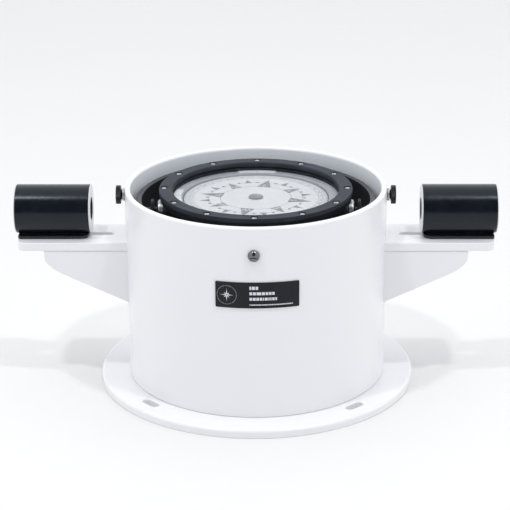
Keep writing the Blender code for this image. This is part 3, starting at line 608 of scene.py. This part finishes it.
def build_bracket(side, sign):
    """The shelf and its two cheeks, let a little into the tube's wall as a welded bracket is."""
    shelf, after, forward = (
        f"corrector_shelf_{side}", f"shelf_cheek_{side}_after", f"shelf_cheek_{side}_forward"
    )
    turn = Matrix.Rotation(0 if sign > 0 else math.pi, 4, "Z")
    low, high = span(shelf, "Z")
    half = span(shelf, "Y")[1]
    end = extent(shelf, "X")[1]
    root_r = span("binnacle_tube", "X")[1] - 0.0006
    corners = rounded_rectangle((0, -half), (end, half), SHELF_CORNER_R, SHELF_CORNER_R, 16)
    root = math.degrees(math.asin(half / root_r))
    outline = corners[: len(corners) // 2] + arc((0, 0), root_r, root, -root, 24)
    start, stop = SHELF_SLOT_X
    slot = [(x + (start + stop) / 2, y) for x, y in capsule(stop - start, SHELF_SLOT_WIDTH)]
    geometry = moved(plate([outline, slot], low, high, 0.0007), turn)
    add_shape(f"shelf_{side}", geometry, WHITE_PAINT, "binnacle", "white_paint", [shelf])

    top = span(after, "Z")[1]
    cheek_end = extent(after, "X")[1]
    slope = (CHEEK_KNEE[1] - CHEEK_FOOT[1]) / (CHEEK_KNEE[0] - CHEEK_FOOT[0])
    control = (cheek_end, CHEEK_KNEE[1] + slope * (cheek_end - CHEEK_KNEE[0]))
    drop = Vector((cheek_end, CHEEK_DROP_Z))
    bend = []
    for step in range(17):
        t = step / 16
        bend.append(
            tuple((1 - t) ** 2 * drop + 2 * t * (1 - t) * Vector(control) + t * t * Vector(CHEEK_KNEE))
        )
    root_x = 0.1330
    outline = [(root_x, top), (root_x, CHEEK_FOOT[1] - slope * (CHEEK_FOOT[0] - root_x))] + bend[::-1]
    outline.append((cheek_end, top))
    upright = Matrix.Rotation(math.pi / 2, 4, "X")
    for node in (after, forward):
        near, far = span(node, "Y")
        sheet = plate([outline], -far, -near, 0.0005)
        if sign < 0:
            sheet = moved(sheet, Matrix.Scale(-1, 4, (1, 0, 0)))
        name = node.replace("shelf_cheek", "cheek")
        mesh = build_mesh(name, moved(sheet, upright))
        add_piece(name, mesh, WHITE_PAINT, "binnacle", "white_paint", [node])


def bent(geometry, base_r):
    """Flat geometry of (along, up, out) wrapped on the tube round the label's middle."""
    verts, faces = geometry
    wrapped = []
    for along, up, out in verts:
        angle = LABEL_AZIMUTH + along / base_r
        wrapped.append(((base_r + out) * math.cos(angle), (base_r + out) * math.sin(angle), up))
    return wrapped, faces


def label_bar(left, right, low, high, out, columns=4):
    """A thin raised bar that follows the tube."""
    sections = []
    for column in range(columns + 1):
        along = left + (right - left) * column / columns
        sections.append(
            [
                (along, low, out - MARK_SINK), (along, high, out - MARK_SINK), (along, high, out),
                (along, low, out)
            ]
        )
    return loft(sections)


def build_label():
    """A bent plate with rounded corners, a compass star and rows of plain blocks in place of any wording."""
    low, high = span("label_plate", "Z")
    base_r = span("binnacle_tube", "X")[1] + GAP
    thick, edge, corner = 0.0008, 0.00015, 0.0010
    half, middle = LABEL_HALF_WIDTH, (low + high) / 2
    tall = (high - low) / 2
    ends = [corner * (1 - math.cos(math.radians(a))) for a in range(0, 91, 15)]
    columns = [-half + e for e in ends] + [
        -half + corner + (2 * (half - corner)) * k / 40 for k in range(1, 40)
    ]
    columns += [half - e for e in reversed(ends)]
    sections = []
    for along in columns:
        beyond = max(0.0, abs(along) - (half - corner))
        reach = tall - corner + math.sqrt(max(0.0, corner**2 - beyond**2))
        flat = [
            (-reach, 0), (-reach, thick - edge), (-reach + edge, thick), (reach - edge, thick),
            (reach, thick - edge), (reach, 0)
        ]
        sections.append([(along, middle + up, out) for up, out in flat])
    add_shape("name_plate", bent(loft(sections), base_r), LABEL_BLACK, "binnacle", "label", ["label_plate"])

    out = thick + 0.00004
    marks = []
    star = Vector((-0.0305, middle))
    for point in range(8):
        angle = math.tau * point / 8
        reach = 0.0072 if point % 2 == 0 else 0.0042
        tip = star + reach * heading(angle)
        for side in (-1, 1):
            elbow = star + 0.0015 * heading(angle + side * math.pi / 8)
            inner = star + 0.0004 * heading(angle)
            shrink = 0.78 if side > 0 else 1.0
            end = inner + (tip - inner) * shrink
            marks.append(prism([tuple(inner), tuple(elbow), tuple(end)], out - MARK_SINK, out))
    ring_points = 40
    for index in range(ring_points):
        angle = math.tau * index / ring_points
        spot = star + 0.0098 * heading(angle)
        marks.append(prism(arc(spot, 0.00028, 0, 330, 11), out - MARK_SINK, out))
    rows = (
        (0.0062, 0.0034, (0.0016, 0.0030, 0.0026)),
        (0.0006, 0.0030, (0.0026, 0.0030, 0.0046, 0.0030, 0.0026, 0.0024, 0.0024)),
        (-0.0052, 0.0030, (0.0024, 0.0030, 0.0026, 0.0024, 0.0012, 0.0028, 0.0012, 0.0012, 0.0024, 0.0016)),
        (-0.0104, 0.0011, tuple(0.0011 + 0.0005 * (k * 7 % 3) for k in range(22))),
    )
    for base, tallness, widths in rows:
        left = -0.0078
        for width in widths:
            marks.append(label_bar(left, left + width, middle + base, middle + base + tallness, out, 2))
            left += width + (0.0007 if tallness > 0.002 else 0.0004)
    marks_mesh = build_mesh("name_plate_marks", bent(joined(marks), base_r))
    add_piece("name_plate_marks", marks_mesh, LABEL_WHITE, "binnacle", "label")


# ---------------------------------------------------------------- correctors


def build_corrector(side, sign):
    body = f"corrector_{side}"
    sleeve, core, foot = (f"corrector_{part}_{side}" for part in ("sleeve", "core", "foot"))
    start, end = span(sleeve, "X")
    middle, half = (start + end) / 2, (end - start) / 2
    low, high = span(sleeve, "Z")
    radius, axis_z = (high - low) / 2, (high + low) / 2
    lying = Matrix.Translation((middle, 0, axis_z)) @ OUTWARD["starboard"]
    core_r = span(core, "Z")[1] - axis_z
    bare = 0.0011
    tube = rounded(band(core_r, radius, -half + bare, half - bare), 0.0005)
    refine(sleeve, moved(turned(tube, 128), lying), SLEEVE_BLACK, body, "corrector_black")

    lip = radius - 0.0004
    groove = core_r - 0.0002
    iron = [
        (CORE_BORE_R, -half), (lip, -half), (lip, -half + bare - 0.0002), (groove, -half + bare),
        (groove, half - bare), (lip, half - bare + 0.0002), (lip, half), (CORE_BORE_R, half)
    ]
    mesh = build_mesh(f"{core}_fine", moved(turned(rounded(iron, 0.0007), 128), lying))
    mesh.materials.append(CORE_PAINT)
    mesh.materials.append(BORE_PAINTED_SHADE)
    # Faces in the bore and on its rounded lip take the painted shade
    for face in mesh.polygons:
        if math.hypot(face.center.y, face.center.z - axis_z) < CORE_BORE_R + 0.0006:
            face.material_index = 1
    add_piece(f"{core}_fine", mesh, CORE_PAINT, body, "corrector_iron", [core])

    foot_low = span(foot, "Z")[0]
    foot_half, foot_wide = (span(foot, "X")[1] - span(foot, "X")[0]) / 2, span(foot, "Y")[1]
    corner_radii = (FOOT_INNER_CORNER_R, FOOT_OUTER_CORNER_R)[::sign]
    outline = rounded_rectangle((-foot_half, -foot_wide), (foot_half, foot_wide), *corner_radii)
    base = plate([outline], foot_low, foot_low + FOOT_THICK, 0.0005)
    seat_r = radius + GAP
    reach = math.degrees(math.asin(CRADLE_HALF_WIDTH / seat_r))
    section = [(-CRADLE_HALF_WIDTH, foot_low + 0.001), (CRADLE_HALF_WIDTH, foot_low + 0.001)]
    section += arc((0, axis_z), seat_r, -90 + reach, -90 - reach, 16)
    rows = (-foot_half + 0.004, foot_half - 0.004)
    cradle = loft([[(x, y, z) for y, z in section] for x in rows])
    shift = Matrix.Translation((middle, 0, 0))
    refine(foot, moved(joined([base, cradle]), shift), FOOT_BLACK, body, "corrector_black")

    bolt, nut = f"clamp_bolt_{side}", f"clamp_nut_{side}"
    upright = Matrix.Translation((middle, 0, 0))
    bolt_low, bolt_high = span(bolt, "Z")
    pin = rounded(band(0, BOLT_R, bolt_low, bolt_high), 0.0005)
    refine(bolt, moved(turned(threaded(pin, bolt_low), SMALL_ROUND), upright), STEEL, body, "steel")
    nut_low, nut_high = span(nut, "Z")
    nut_r = span(nut, "Y")[1]
    profile = band(BOLT_R, nut_r, nut_low, nut_high)
    knurl = knurled(nut_r)
    refine(
        nut, moved(turned(rounded(profile, 0.0008), 192, knurl=knurl), upright), STEEL, body, "steel",
        smooth_angle=KNURL_ANGLE
    )


def threaded(profile, start):
    """A pin's profile with rings like a screw's thread cut in its first edge."""
    (_, low), *rest = profile
    first = start + THREAD_LEAD
    rings = []
    for turn in range(THREAD_TURNS):
        z = first + THREAD_PITCH * turn
        rings += [(BOLT_R, z), (BOLT_R - THREAD_DEPTH, z + THREAD_PITCH / 2)]
    last = first + THREAD_PITCH * THREAD_TURNS
    ends = [point for point in rest if point[1] > last]
    return [(0, low), (BOLT_R - 0.0005, low), *rings, (BOLT_R, last), *ends]


def knurled(outer_r):
    """Cuts ridges along the outermost band of a profile. Four points make one tooth."""

    def reach(radius, index):
        share = (0.0, 0.5, 1.0, 0.5)[index % 4]
        return radius - KNURL_DEPTH * share if radius > outer_r - KNURL_BAND else radius

    return reach


# ---------------------------------------------------------------- thumb screws


def build_knob(side):
    node, washer = f"side_knob_{side}", f"knob_washer_{side}"
    low, high = span(node, "Z")
    radius, axis_z = (high - low) / 2, (high + low) / 2
    far = extent(node, "X")[1]
    start = extent(node, "X")[0]
    lying = Matrix.Translation((0, 0, axis_z)) @ OUTWARD[side]
    near = far - 0.0050
    washer_end = extent(washer, "X")[1]
    profile = [
        (0, start), (BOLT_R, start), (BOLT_R, washer_end + GAP), (0.0040, washer_end + 0.0004),
        (0.0066, near - 0.0003), (0.0066, near), (radius, near), (radius, far), (radius - 0.0030, far),
        (radius - 0.0036, far - 0.0004), (0, far - 0.0004)
    ]
    shape = rounded(profile, 0.0006)
    add_shape(
        f"thumb_screw_{side}", moved(turned(shape, 208, knurled(radius)), lying), NUT_BLACK, f"knob_{side}",
        "nut_black", [node], smooth_angle=KNURL_ANGLE
    )
    inner = extent(washer, "X")[0]
    outer_r = span(washer, "Y")[1]
    ring = rounded(band(BOLT_R + GAP, outer_r, inner, washer_end), 0.0005)
    add_shape(
        f"thumb_washer_{side}", moved(turned(ring, SMALL_ROUND), lying), ZINC, "binnacle", "steel", [washer]
    )


# ---------------------------------------------------------------- gimbal


def build_gimbal():
    centre = Matrix.Translation((0, 0, GIMBAL_Z))
    low, high = span("gimbal_ring", "Z")
    outer = span("gimbal_ring", "X")[1]
    profile = band(RING_INNER_R, outer, low, high)
    mesh = build_mesh("gimbal_ring_fine", turned(rounded(profile, 0.0012, 4), RING_ROUND))
    cutters = []
    for direction, turn in OUTWARD.items():
        axis = "X" if direction in SIDES else "Y"
        bush = f"gimbal_bush_{direction}"
        bush_r = (span(bush, "Z")[1] - span(bush, "Z")[0]) / 2
        hole = turned(band(0, bush_r + 0.0001, 0.11, 0.13), 48)
        cutters.append(moved(hole, centre @ turn))
        near, far = extent(bush, axis)
        shape = rounded(band(PIVOT_R + GAP, bush_r, near, far), 0.0004)
        mesh_bush = build_mesh(f"{bush}_fine", moved(turned(shape, SMALL_ROUND), centre @ turn))
        add_piece(f"{bush}_fine", mesh_bush, BRASS, "gimbal", "brass", [bush])
    add_piece("gimbal_ring_fine", cut(mesh, cutters), RING_BLACK, "gimbal", "ring_black", ["gimbal_ring"])

    for direction in ("ahead", "astern"):
        pivot, nut = f"ring_pivot_{direction}", f"ring_pivot_nut_{direction}"
        near, far = extent(pivot, "Y")
        nut_near, nut_far = extent(nut, "Y")
        nut_r = (span(nut, "Z")[1] - span(nut, "Z")[0]) / 2
        collar_r = (span(pivot, "Z")[1] - span(pivot, "Z")[0]) / 2
        foot = (0, nut_near + 0.0008)
        rise = far - foot[1]
        split = math.degrees(math.acos((PIVOT_R + 0.0002) / nut_r))
        pin = [
            (0, near), (PIVOT_R, near), (PIVOT_R, outer + 0.0015), (collar_r, outer + 0.0015),
            (collar_r, TUBE_INNER_R - 0.0006), (PIVOT_R, TUBE_INNER_R - 0.0006), (PIVOT_R, nut_far - 0.0005),
            *ellipse(foot, nut_r, rise, split + 1.5, 88, 14), (0, far)
        ]
        mesh = build_mesh(pivot, moved(turned(pin, SMALL_ROUND), centre @ OUTWARD[direction]))
        slot = prism(band(-0.0005, 0.0005, -0.006, 0.006), far - 0.0016, far + 0.001)
        flat = centre @ OUTWARD[direction] @ Matrix.Translation((0, -0.0009, 0)) @ Matrix.Rotation(
            math.pi / 2, 4, "Z"
        )
        # The pivot and its nut take the darkened steel, which paints in the reflection of dark surroundings
        add_piece(
            f"{pivot}_fine", cut(mesh, [moved(slot, flat)]), STEEL_LENGTHWISE_PAINTED_SHADE, "binnacle", "steel", [pivot]
        )
        shape = [(PIVOT_R + 0.00005, nut_near), (nut_r - 0.0003, nut_near), (nut_r, nut_near + 0.0003)]
        shape += ellipse(foot, nut_r, rise, 0, split, 14)
        shape.append((PIVOT_R + 0.00005, nut_far - 0.0006))
        refine(
            nut, moved(turned(shape, SMALL_ROUND), centre @ OUTWARD[direction]), STEEL_LENGTHWISE_PAINTED_SHADE, "binnacle",
            "steel"
        )


# ---------------------------------------------------------------- bowl


def build_bowl():
    low = span("bowl_body", "Z")[0]
    bezel_low, bezel_high = span("bezel_ring", "Z")
    glass_low, glass_high = span("top_glass", "Z")
    glass_r = span("top_glass", "X")[1]
    lubber_r = span("lubber_ring", "X")[1]
    curve_z, wall, floor_r, ledge_z = 0.150, 0.005, 0.060, 0.1962
    seat_z = span("glass_gasket", "Z")[0] - GAP
    outside = ellipse((floor_r, curve_z), BOWL_R - floor_r, curve_z - low, -90, 0, 24)
    inside = ellipse((floor_r - wall, curve_z), BOWL_R - floor_r, curve_z - low - wall, 0, -90, 24)
    profile = [
        (BOWL_HOLE_R, low), *outside, (BOWL_R, ledge_z), (BOWL_RIM_R, ledge_z + 0.003),
        (BOWL_RIM_R, bezel_low - 0.0002), (glass_r + GAP, bezel_low - 0.0002), (glass_r + GAP, seat_z),
        (lubber_r + GAP, seat_z), (lubber_r + GAP, ledge_z), (BOWL_LEDGE_R, ledge_z),
        (BOWL_LEDGE_R, ledge_z - 0.004), (BOWL_R - wall, ledge_z - 0.012), *inside, (BOWL_HOLE_R, low + wall)
    ]
    mesh = build_mesh("bowl_shell", turned(profile))
    cutters = []
    for index in range(6):
        azimuth = math.tau * (index + 0.35) / 6
        hole = turned(band(0, 0.004, 0.08, 0.12), 32)
        cutters.append(
            moved(hole, Matrix.Translation((0.035 * math.cos(azimuth), 0.035 * math.sin(azimuth), 0)))
        )
    add_piece("bowl_shell", cut(mesh, cutters), BOWL_BLACK, "bowl", "bowl_black", ["bowl_body"])

    outer = span("bezel_ring", "X")[1]
    profile = [
        (BEZEL_INNER_R, bezel_low), (outer, bezel_low), (outer, bezel_high),
        (BEZEL_INNER_R + 0.0011, bezel_high), (BEZEL_INNER_R, bezel_high - 0.0011)
    ]
    mesh = build_mesh("bezel_fine", turned(rounded(profile, 0.0006, 4), RING_ROUND))
    cutters = []
    step = [
        (0, -0.02), (SCREW_HOLE_R, -0.02), (SCREW_HOLE_R, -SCREW_RECESS_DEPTH),
        (SCREW_RECESS_R, -SCREW_RECESS_DEPTH), (SCREW_RECESS_R, -0.0002), (SCREW_RECESS_R + 0.0003, 0.0001),
        (SCREW_RECESS_R + 0.0003, 0.01), (0, 0.01)
    ]
    places = []
    for index in range(SCREW_COUNT):
        azimuth = math.tau * index / SCREW_COUNT
        spot = (SCREW_CIRCLE_R * math.cos(azimuth), SCREW_CIRCLE_R * math.sin(azimuth), bezel_high)
        places.append(Matrix.Translation(spot))
        cutters.append(moved(turned(step, 40), places[-1] @ Matrix.Rotation(azimuth + 0.05, 4, "Z")))
    add_piece("bezel_fine", cut(mesh, cutters), BEZEL_BLACK, "bowl", "bowl_black", ["bezel_ring"])
    build_screws(places)

    pane = band(0, glass_r, glass_low, glass_high)
    mesh = build_mesh("glass_pane", turned(rounded(pane, 0.0004, 3)))
    glass = add_piece("glass_pane", mesh, GLASS, "bowl", "glass", ["top_glass"])
    glass.visible_shadow = False
    gasket_low, gasket_high = span("glass_gasket", "Z")
    gasket_in = lubber_r + 0.0005
    shape = rounded(band(gasket_in, glass_r, gasket_low, gasket_high), 0.0003)
    add_shape("gasket_fine", turned(shape), RUBBER, "bowl", "rubber", ["glass_gasket"])


def build_screws(places):
    """Slotted pan heads in the bezel's recesses, their slots left at odd angles."""
    crown = [(0.0027 * math.cos(a), -0.0010 + 0.0008 * math.sin(a)) for a in (0.0, 0.35, 0.7, 1.05, 1.35)]
    head = [(0, -0.0042), (0.0018, -0.0042), (0.0018, -0.00135), (0.0027, -0.00135), *crown, (0, -0.0002)]
    slot = prism(band(-0.0042, 0.0042, -0.00045, 0.00045), -0.0010, 0.002)
    mesh = cut(build_mesh("screw", turned(head, 40)), [slot])
    for index, place in enumerate(places):
        turn = Matrix.Rotation(math.radians(17 + 53 * index), 4, "Z")
        add_piece(f"bezel_screw_{index + 1:02d}", mesh, STEEL, "bowl", "steel", matrix=place @ turn)


def build_bowl_fittings():
    centre = Matrix.Translation((0, 0, GIMBAL_Z))
    for side in SIDES:
        pivot, nut = f"bowl_pivot_{side}", f"lock_nut_{side}"
        near, far = extent(pivot, "X")
        collar_r = span(pivot, "Z")[1] - GIMBAL_Z
        collar_end = 0.1036
        dome = []
        for degrees in range(0, 91, 10):
            a = math.radians(degrees)
            dome.append(
                (collar_r - 0.0040 + 0.0040 * math.cos(a), collar_end - 0.0028 + 0.0028 * math.sin(a))
            )
        shape = [
            (0, near), (collar_r, near), *dome, (PIVOT_R, collar_end), (PIVOT_R, far - 0.0005),
            (PIVOT_R - 0.0005, far), (0, far)
        ]
        mesh = build_mesh(f"{pivot}_fine", moved(turned(shape, 96), centre @ OUTWARD[side]))
        mesh.materials.append(STEEL_CROSSWISE)
        mesh.materials.append(NUT_BLACK)
        for face in mesh.polygons:
            if abs(face.center.x) > collar_end + 0.0001:
                face.material_index = 1
        add_piece(f"{pivot}_fine", mesh, STEEL_CROSSWISE, "bowl", "steel", [pivot])
        near, far = extent(nut, "X")
        nut_r = span(nut, "Z")[1] - GIMBAL_Z
        shape = rounded(band(PIVOT_R + 0.0001, nut_r, near, far), 0.0006)
        knurl = knurled(nut_r)
        refine(
            nut, moved(turned(shape, 240, knurl=knurl), centre @ OUTWARD[side]), NUT_BLACK, "bowl",
            "nut_black", smooth_angle=KNURL_ANGLE
        )

    low, high = span("bottom_cover", "Z")
    cover_r = span("bottom_cover", "X")[1]
    cover = rounded(
        [
            (0, low), (cover_r - 0.003, low), (cover_r, low + 0.003), (cover_r, high),
            (cover_r - 0.0055, high), (cover_r - 0.0055, low + 0.003), (0, low + 0.003)
        ],
        0.0010
    )
    mesh = build_mesh("bottom_cover_fine", turned(cover, 192))
    breather = band(0, BREATHER_R, low - 0.01, low + 0.006)
    breather_hole = moved(turned(breather, 24), Matrix.Translation((*BREATHER_PLACE, 0)))
    add_piece(
        "bottom_cover_fine", cut(mesh, [breather_hole]), BOWL_BLACK, "bowl", "bowl_black", ["bottom_cover"]
    )
    low, high = span("counterweight", "Z")
    weight_r = span("counterweight", "X")[1]
    weight = rounded(band(0, weight_r, low, high), 0.0010)
    refine("counterweight", turned(weight, 160), LEAD, "bowl", "lead")
    low, high = span("pivot_stem", "Z")
    stem = rounded(
        [
            (0, low), (0.008, low), (0.008, low + 0.0025), (0.005, low + 0.0025), (0.005, 0.150),
            (0.0018, high - 0.012), (0, high)
        ],
        0.0006
    )
    refine("pivot_stem", turned(stem, SMALL_ROUND), BRASS, "bowl", "brass")
    low, high = span("expansion_diaphragm", "Z")
    disc_r = span("expansion_diaphragm", "X")[1]
    steps = 48
    top = []
    for index in range(steps + 1):
        fade = min(1.0, (steps - index) / 6)
        wave = 0.0009 * math.cos(math.tau * 3 * index / steps) * fade
        top.append((disc_r * index / steps, (low + high) / 2 + wave))
    thin = 0.0003
    disc = [(r, z - thin) for r, z in top] + [(r, z + thin) for r, z in reversed(top)]
    add_shape("diaphragm_fine", turned(disc, 96), BRASS, "bowl", "brass", ["expansion_diaphragm"])
    near, far = span("filling_plug", "Y")
    plug_r = (span("filling_plug", "X")[1] - span("filling_plug", "X")[0]) / 2
    plug_z = sum(span("filling_plug", "Z")) / 2
    plug = rounded(band(0, plug_r, near, far), 0.0008)
    place = Matrix.Translation((0, 0, plug_z)) @ OUTWARD["ahead"]
    mesh = build_mesh("filling_plug", moved(turned(plug, SMALL_ROUND), place))
    slot = prism(band(-0.0006, 0.0006, -0.007, 0.007), far - 0.0010, far + 0.001)
    add_piece("filling_plug_fine", cut(mesh, [moved(slot, place)]), BRASS, "bowl", "brass", ["filling_plug"])


def build_lubber():
    low, high = span("lubber_ring", "Z")
    outer = span("lubber_ring", "X")[1]
    inner = 0.0766
    shape = rounded(band(inner, outer, low, high), 0.0003)
    refine("lubber_ring", turned(shape), PLATE_GREY, "bowl", "plate_grey")
    inner, outer = LUBBER_PLATE_R
    for node, azimuth in (("lubber_plate_ahead", 90), ("lubber_plate_port", 180)):
        low, high = span(node, "Z")
        outline = arc((0, 0), outer, azimuth - 14, azimuth + 14, 28)
        outline += arc((0, 0), inner, azimuth + 14, azimuth - 14, 28)
        refine(node, plate([outline], low, high, 0.00012), PLATE_WHITE, "bowl", "lubber_white")
        mark = prism(band(-0.00035, 0.00035, inner + 0.0002, outer - 0.0022), high - 0.00002, high + 0.00005)
        turn = Matrix.Rotation(math.radians(azimuth - 90), 4, "Z")
        add_shape(f"{node}_mark", moved(mark, turn), CARD_INK, "bowl", "lubber_white")


# ---------------------------------------------------------------- card


def at_bearing(geometry, bearing):
    """Geometry drawn towards +Y turned to a bearing on the card."""
    return moved(geometry, Matrix.Rotation(math.radians(CARD_NORTH - bearing - 90), 4, "Z"))


def flat_ring(inner, outer, low, high):
    return turned(band(inner, outer, low, high))


def build_card():
    low, high = span("compass_card", "Z")
    radius = span("compass_card", "X")[1]
    disc = rounded(band(CARD_BORE_R, radius, low, high), 0.0002)
    add_shape("card_disc", turned(disc), CARD_WHITE, "card", "card", ["compass_card"])

    ink_top, paper_top = high + 0.00005, high + 0.00009
    under = high - 0.00002
    ink, paper = [], []

    def draw(outline, bearing):
        ink.append(at_bearing(prism(outline, under, ink_top), bearing))

    def write(text, height, reach, bearing, layer, base, thickness=0.00006):
        letters = moved(lettering(text, height, thickness), Matrix.Translation((0, reach, base)))
        layer.append(at_bearing(letters, bearing))

    for share, width in (
        (0.500, 0.00042), (0.660, 0.00040), (0.880, 0.00045), (0.935, 0.00042), (0.990, 0.00050)
    ):
        ink.append(flat_ring(radius * share - width, radius * share, under, ink_top))
    for degree in range(0, 360, 2):
        long = degree % 10 == 0
        inner = radius * (0.880 if long else 0.935)
        half = 0.00028 if long else 0.00019
        outer = radius * 0.988
        draw(band(-half, half, inner, outer), degree)
    for degree in range(0, 360, 10):
        write(str(degree), 0.0024, radius * 0.910, degree + 3.2, ink, under)
    names = ("N", "NE", "E", "SE", "S", "SW", "W", "NW")
    for index, name in enumerate(names):
        bearing = 45 * index
        cardinal = index % 2 == 0
        half, base, tip, tall = (0.0076, 0.475, 0.800, 0.0066) if cardinal else (0.0062, 0.500, 0.750, 0.0046)
        draw([(-half, radius * base), (half, radius * base), (0.0, radius * tip)], bearing)
        middle = radius * base + (0.0046 if cardinal else 0.0036)
        write(name, tall, middle, bearing, paper, ink_top - 0.00001, paper_top - ink_top)
    for index in range(8):
        bearing = 22.5 + 45 * index
        draw([(-0.0039, radius * 0.650), (0.0039, radius * 0.650), (0.0, radius * 0.800)], bearing)
    for index in range(16):
        bearing = 11.25 + 22.5 * index
        draw([(x, y + radius * 0.680) for x, y in arc((0, 0), 0.0017, 0, 337.5, 15)], bearing)
    add_shape("card_print", joined(ink), CARD_INK, "card", "card")
    add_shape("card_letters", joined(paper), CARD_WHITE, "card", "card")

    cap_r = span("card_cap", "X")[1]
    cap_low, cap_high = span("card_cap", "Z")
    brim = high + GAP
    dome = [
        (cap_r - 0.0014 + 0.0014 * math.cos(a), brim + 0.0009 + 0.0010 * math.sin(a)) for a in (
            0, 0.4, 0.8, 1.2, 1.5
        )
    ]
    cap = [
        (0, cap_low + 0.0025), (0.0025, cap_low), (0.0040, cap_low), (0.0040, brim), (cap_r, brim), *dome,
        (cap_r * 0.45, cap_high - 0.0005), (0, cap_high)
    ]
    refine("card_cap", turned(cap, 96), CAP_GREY, "card", "plate_grey")

    float_low, float_high = span("card_float", "Z")
    float_r = span("card_float", "X")[1]
    hull = rounded(
        [
            (CARD_BORE_R, float_high), (CARD_BORE_R, 0.1890), (0.0120, float_low), (0.0220, float_low),
            (float_r, 0.1770), (float_r, 0.1890), (0.0200, float_high)
        ],
        0.0020, 5
    )
    refine("card_float", turned(hull, 128), BRASS, "card", "float_metal")
    for node in ("card_magnet_forward", "card_magnet_after"):
        start, end = span(node, "X")
        y, z = sum(span(node, "Y")) / 2, sum(span(node, "Z")) / 2
        bar = rounded(band(0, 0.0025, start, end), 0.0004)
        place = Matrix.Translation((0, y, z)) @ OUTWARD["starboard"]
        refine(node, moved(turned(bar, 48), place), MAGNET_STEEL, "card", "magnet")


# ---------------------------------------------------------------- magnet chamber


def build_magnet_chamber():
    low, high = span("magnet_tray", "Z")
    outer = span("magnet_tray", "X")[1]
    shape = rounded(band(HEELING_TUBE_R[1], outer, low, high), 0.0005)
    refine("magnet_tray", turned(shape), WHITE_PAINT, "binnacle", "white_paint")
    low, high = span("heeling_tube", "Z")
    flange_r = span("heeling_tube", "X")[1]
    shape = rounded(
        [
            (HEELING_TUBE_R[0], low), (flange_r, low), (flange_r, low + 0.0025),
            (HEELING_TUBE_R[1], low + 0.0025), (HEELING_TUBE_R[1], high), (HEELING_TUBE_R[0], high)
        ],
        0.0006
    )
    refine("heeling_tube", turned(shape, 96), BRASS, "binnacle", "brass")
    low, high = span("heeling_bucket", "Z")
    cup = rounded(
        [(0, low), (0.0140, low), (0.0140, high), (0.0105, high), (0.0105, low + 0.003), (0, low + 0.003)],
        0.0006
    )
    body = "heeling_magnet_bucket"
    refine("heeling_bucket", turned(cup, 96), BRASS, body, "brass")
    low, high = span("heeling_magnet", "Z")
    rod = rounded(band(0, 0.005, low, high), 0.0005)
    refine("heeling_magnet", turned(rod, 64), MAGNET_STEEL, body, "magnet")


# ---------------------------------------------------------------- studio


def build_floor():
    """A slab broad enough that its edges stay out of every view."""
    outline = band(-FLOOR_REACH, FLOOR_REACH, -FLOOR_REACH, FLOOR_REACH)
    mesh = build_mesh("studio_floor", prism(outline, -FLOOR_THICK, 0))
    mesh.materials.append(FLOOR_WHITE)
    obj = bpy.data.objects.new("studio_floor", mesh)
    bpy.context.scene.collection.objects.link(obj)


def add_softbox(name, place):
    data = bpy.data.lights.new(name, "AREA")
    data.shape = "RECTANGLE"
    data.size = data.size_y = SOFTBOX_SIZE
    data.energy = SOFTBOX_POWER
    obj = bpy.data.objects.new(name, data)
    obj.location = place
    obj.rotation_euler = (Vector(SOFTBOX_TARGET) - Vector(place)).to_track_quat("-Z", "Y").to_euler()
    bpy.context.scene.collection.objects.link(obj)


def build_world():
    """A pale dome with a dark band up its -Y side, short of the top."""
    world = bpy.data.worlds.new("studio")
    bpy.context.scene.world = world
    world.use_nodes = True
    tree = world.node_tree
    background = tree.nodes["Background"]
    direction = tree.nodes.new("ShaderNodeTexCoord").outputs["Generated"]
    split = tree.nodes.new("ShaderNodeSeparateXYZ")
    tree.links.new(direction, split.inputs[0])
    aside = add_node(tree, "ShaderNodeMath", operation="ABSOLUTE")
    tree.links.new(split.outputs["X"], aside.inputs[0])
    bright = ranged(tree, aside.outputs[0], 0.0, 1.0, DARK_X)
    edges = (
        ranged(tree, split.outputs["Y"], 0.0, 1.0, DARK_Y), ranged(tree, split.outputs["Z"], 0.0, 1.0, DARK_Z)
    )
    for edge in edges:
        brighter = add_node(tree, "ShaderNodeMath", operation="MAXIMUM")
        tree.links.new(bright, brighter.inputs[0])
        tree.links.new(edge, brighter.inputs[1])
        bright = brighter.outputs[0]
    mix = add_node(tree, "ShaderNodeMix", data_type="RGBA")
    mix.inputs[6].default_value = DOME_DARK
    mix.inputs[7].default_value = DOME_PALE
    tree.links.new(bright, mix.inputs["Factor"])
    tree.links.new(mix.outputs[2], background.inputs["Color"])
    background.inputs["Strength"].default_value = DOME_LEVEL


def build_camera():
    data = bpy.data.cameras.new("camera")
    data.lens = CAMERA_LENS
    data.sensor_width = 36.0
    data.clip_start, data.clip_end = 0.05, 100
    obj = bpy.data.objects.new("camera", data)
    bpy.context.scene.collection.objects.link(obj)
    turn = Matrix.Identity(4)
    for degrees, axis in CAMERA_TURNS:
        turn = turn @ Matrix.Rotation(math.radians(degrees), 4, axis)
    obj.matrix_world = Matrix.Translation(CAMERA_PLACE) @ turn
    bpy.context.scene.camera = obj


build_flange()
build_tube()
for side, sign in SIDES.items():
    build_bracket(side, sign)
    build_corrector(side, sign)
    build_knob(side)
build_label()
build_gimbal()
build_bowl()
build_bowl_fittings()
build_lubber()
build_card()
build_magnet_chamber()
build_floor()
build_world()
for sign in (-1, 1):
    add_softbox(f"top_{sign}", (SOFTBOX_PLACE[0] * sign, *SOFTBOX_PLACE[1:]))
build_camera()
bpy.context.scene.view_settings.view_transform = "Standard"

bpy.context.view_layer.update()
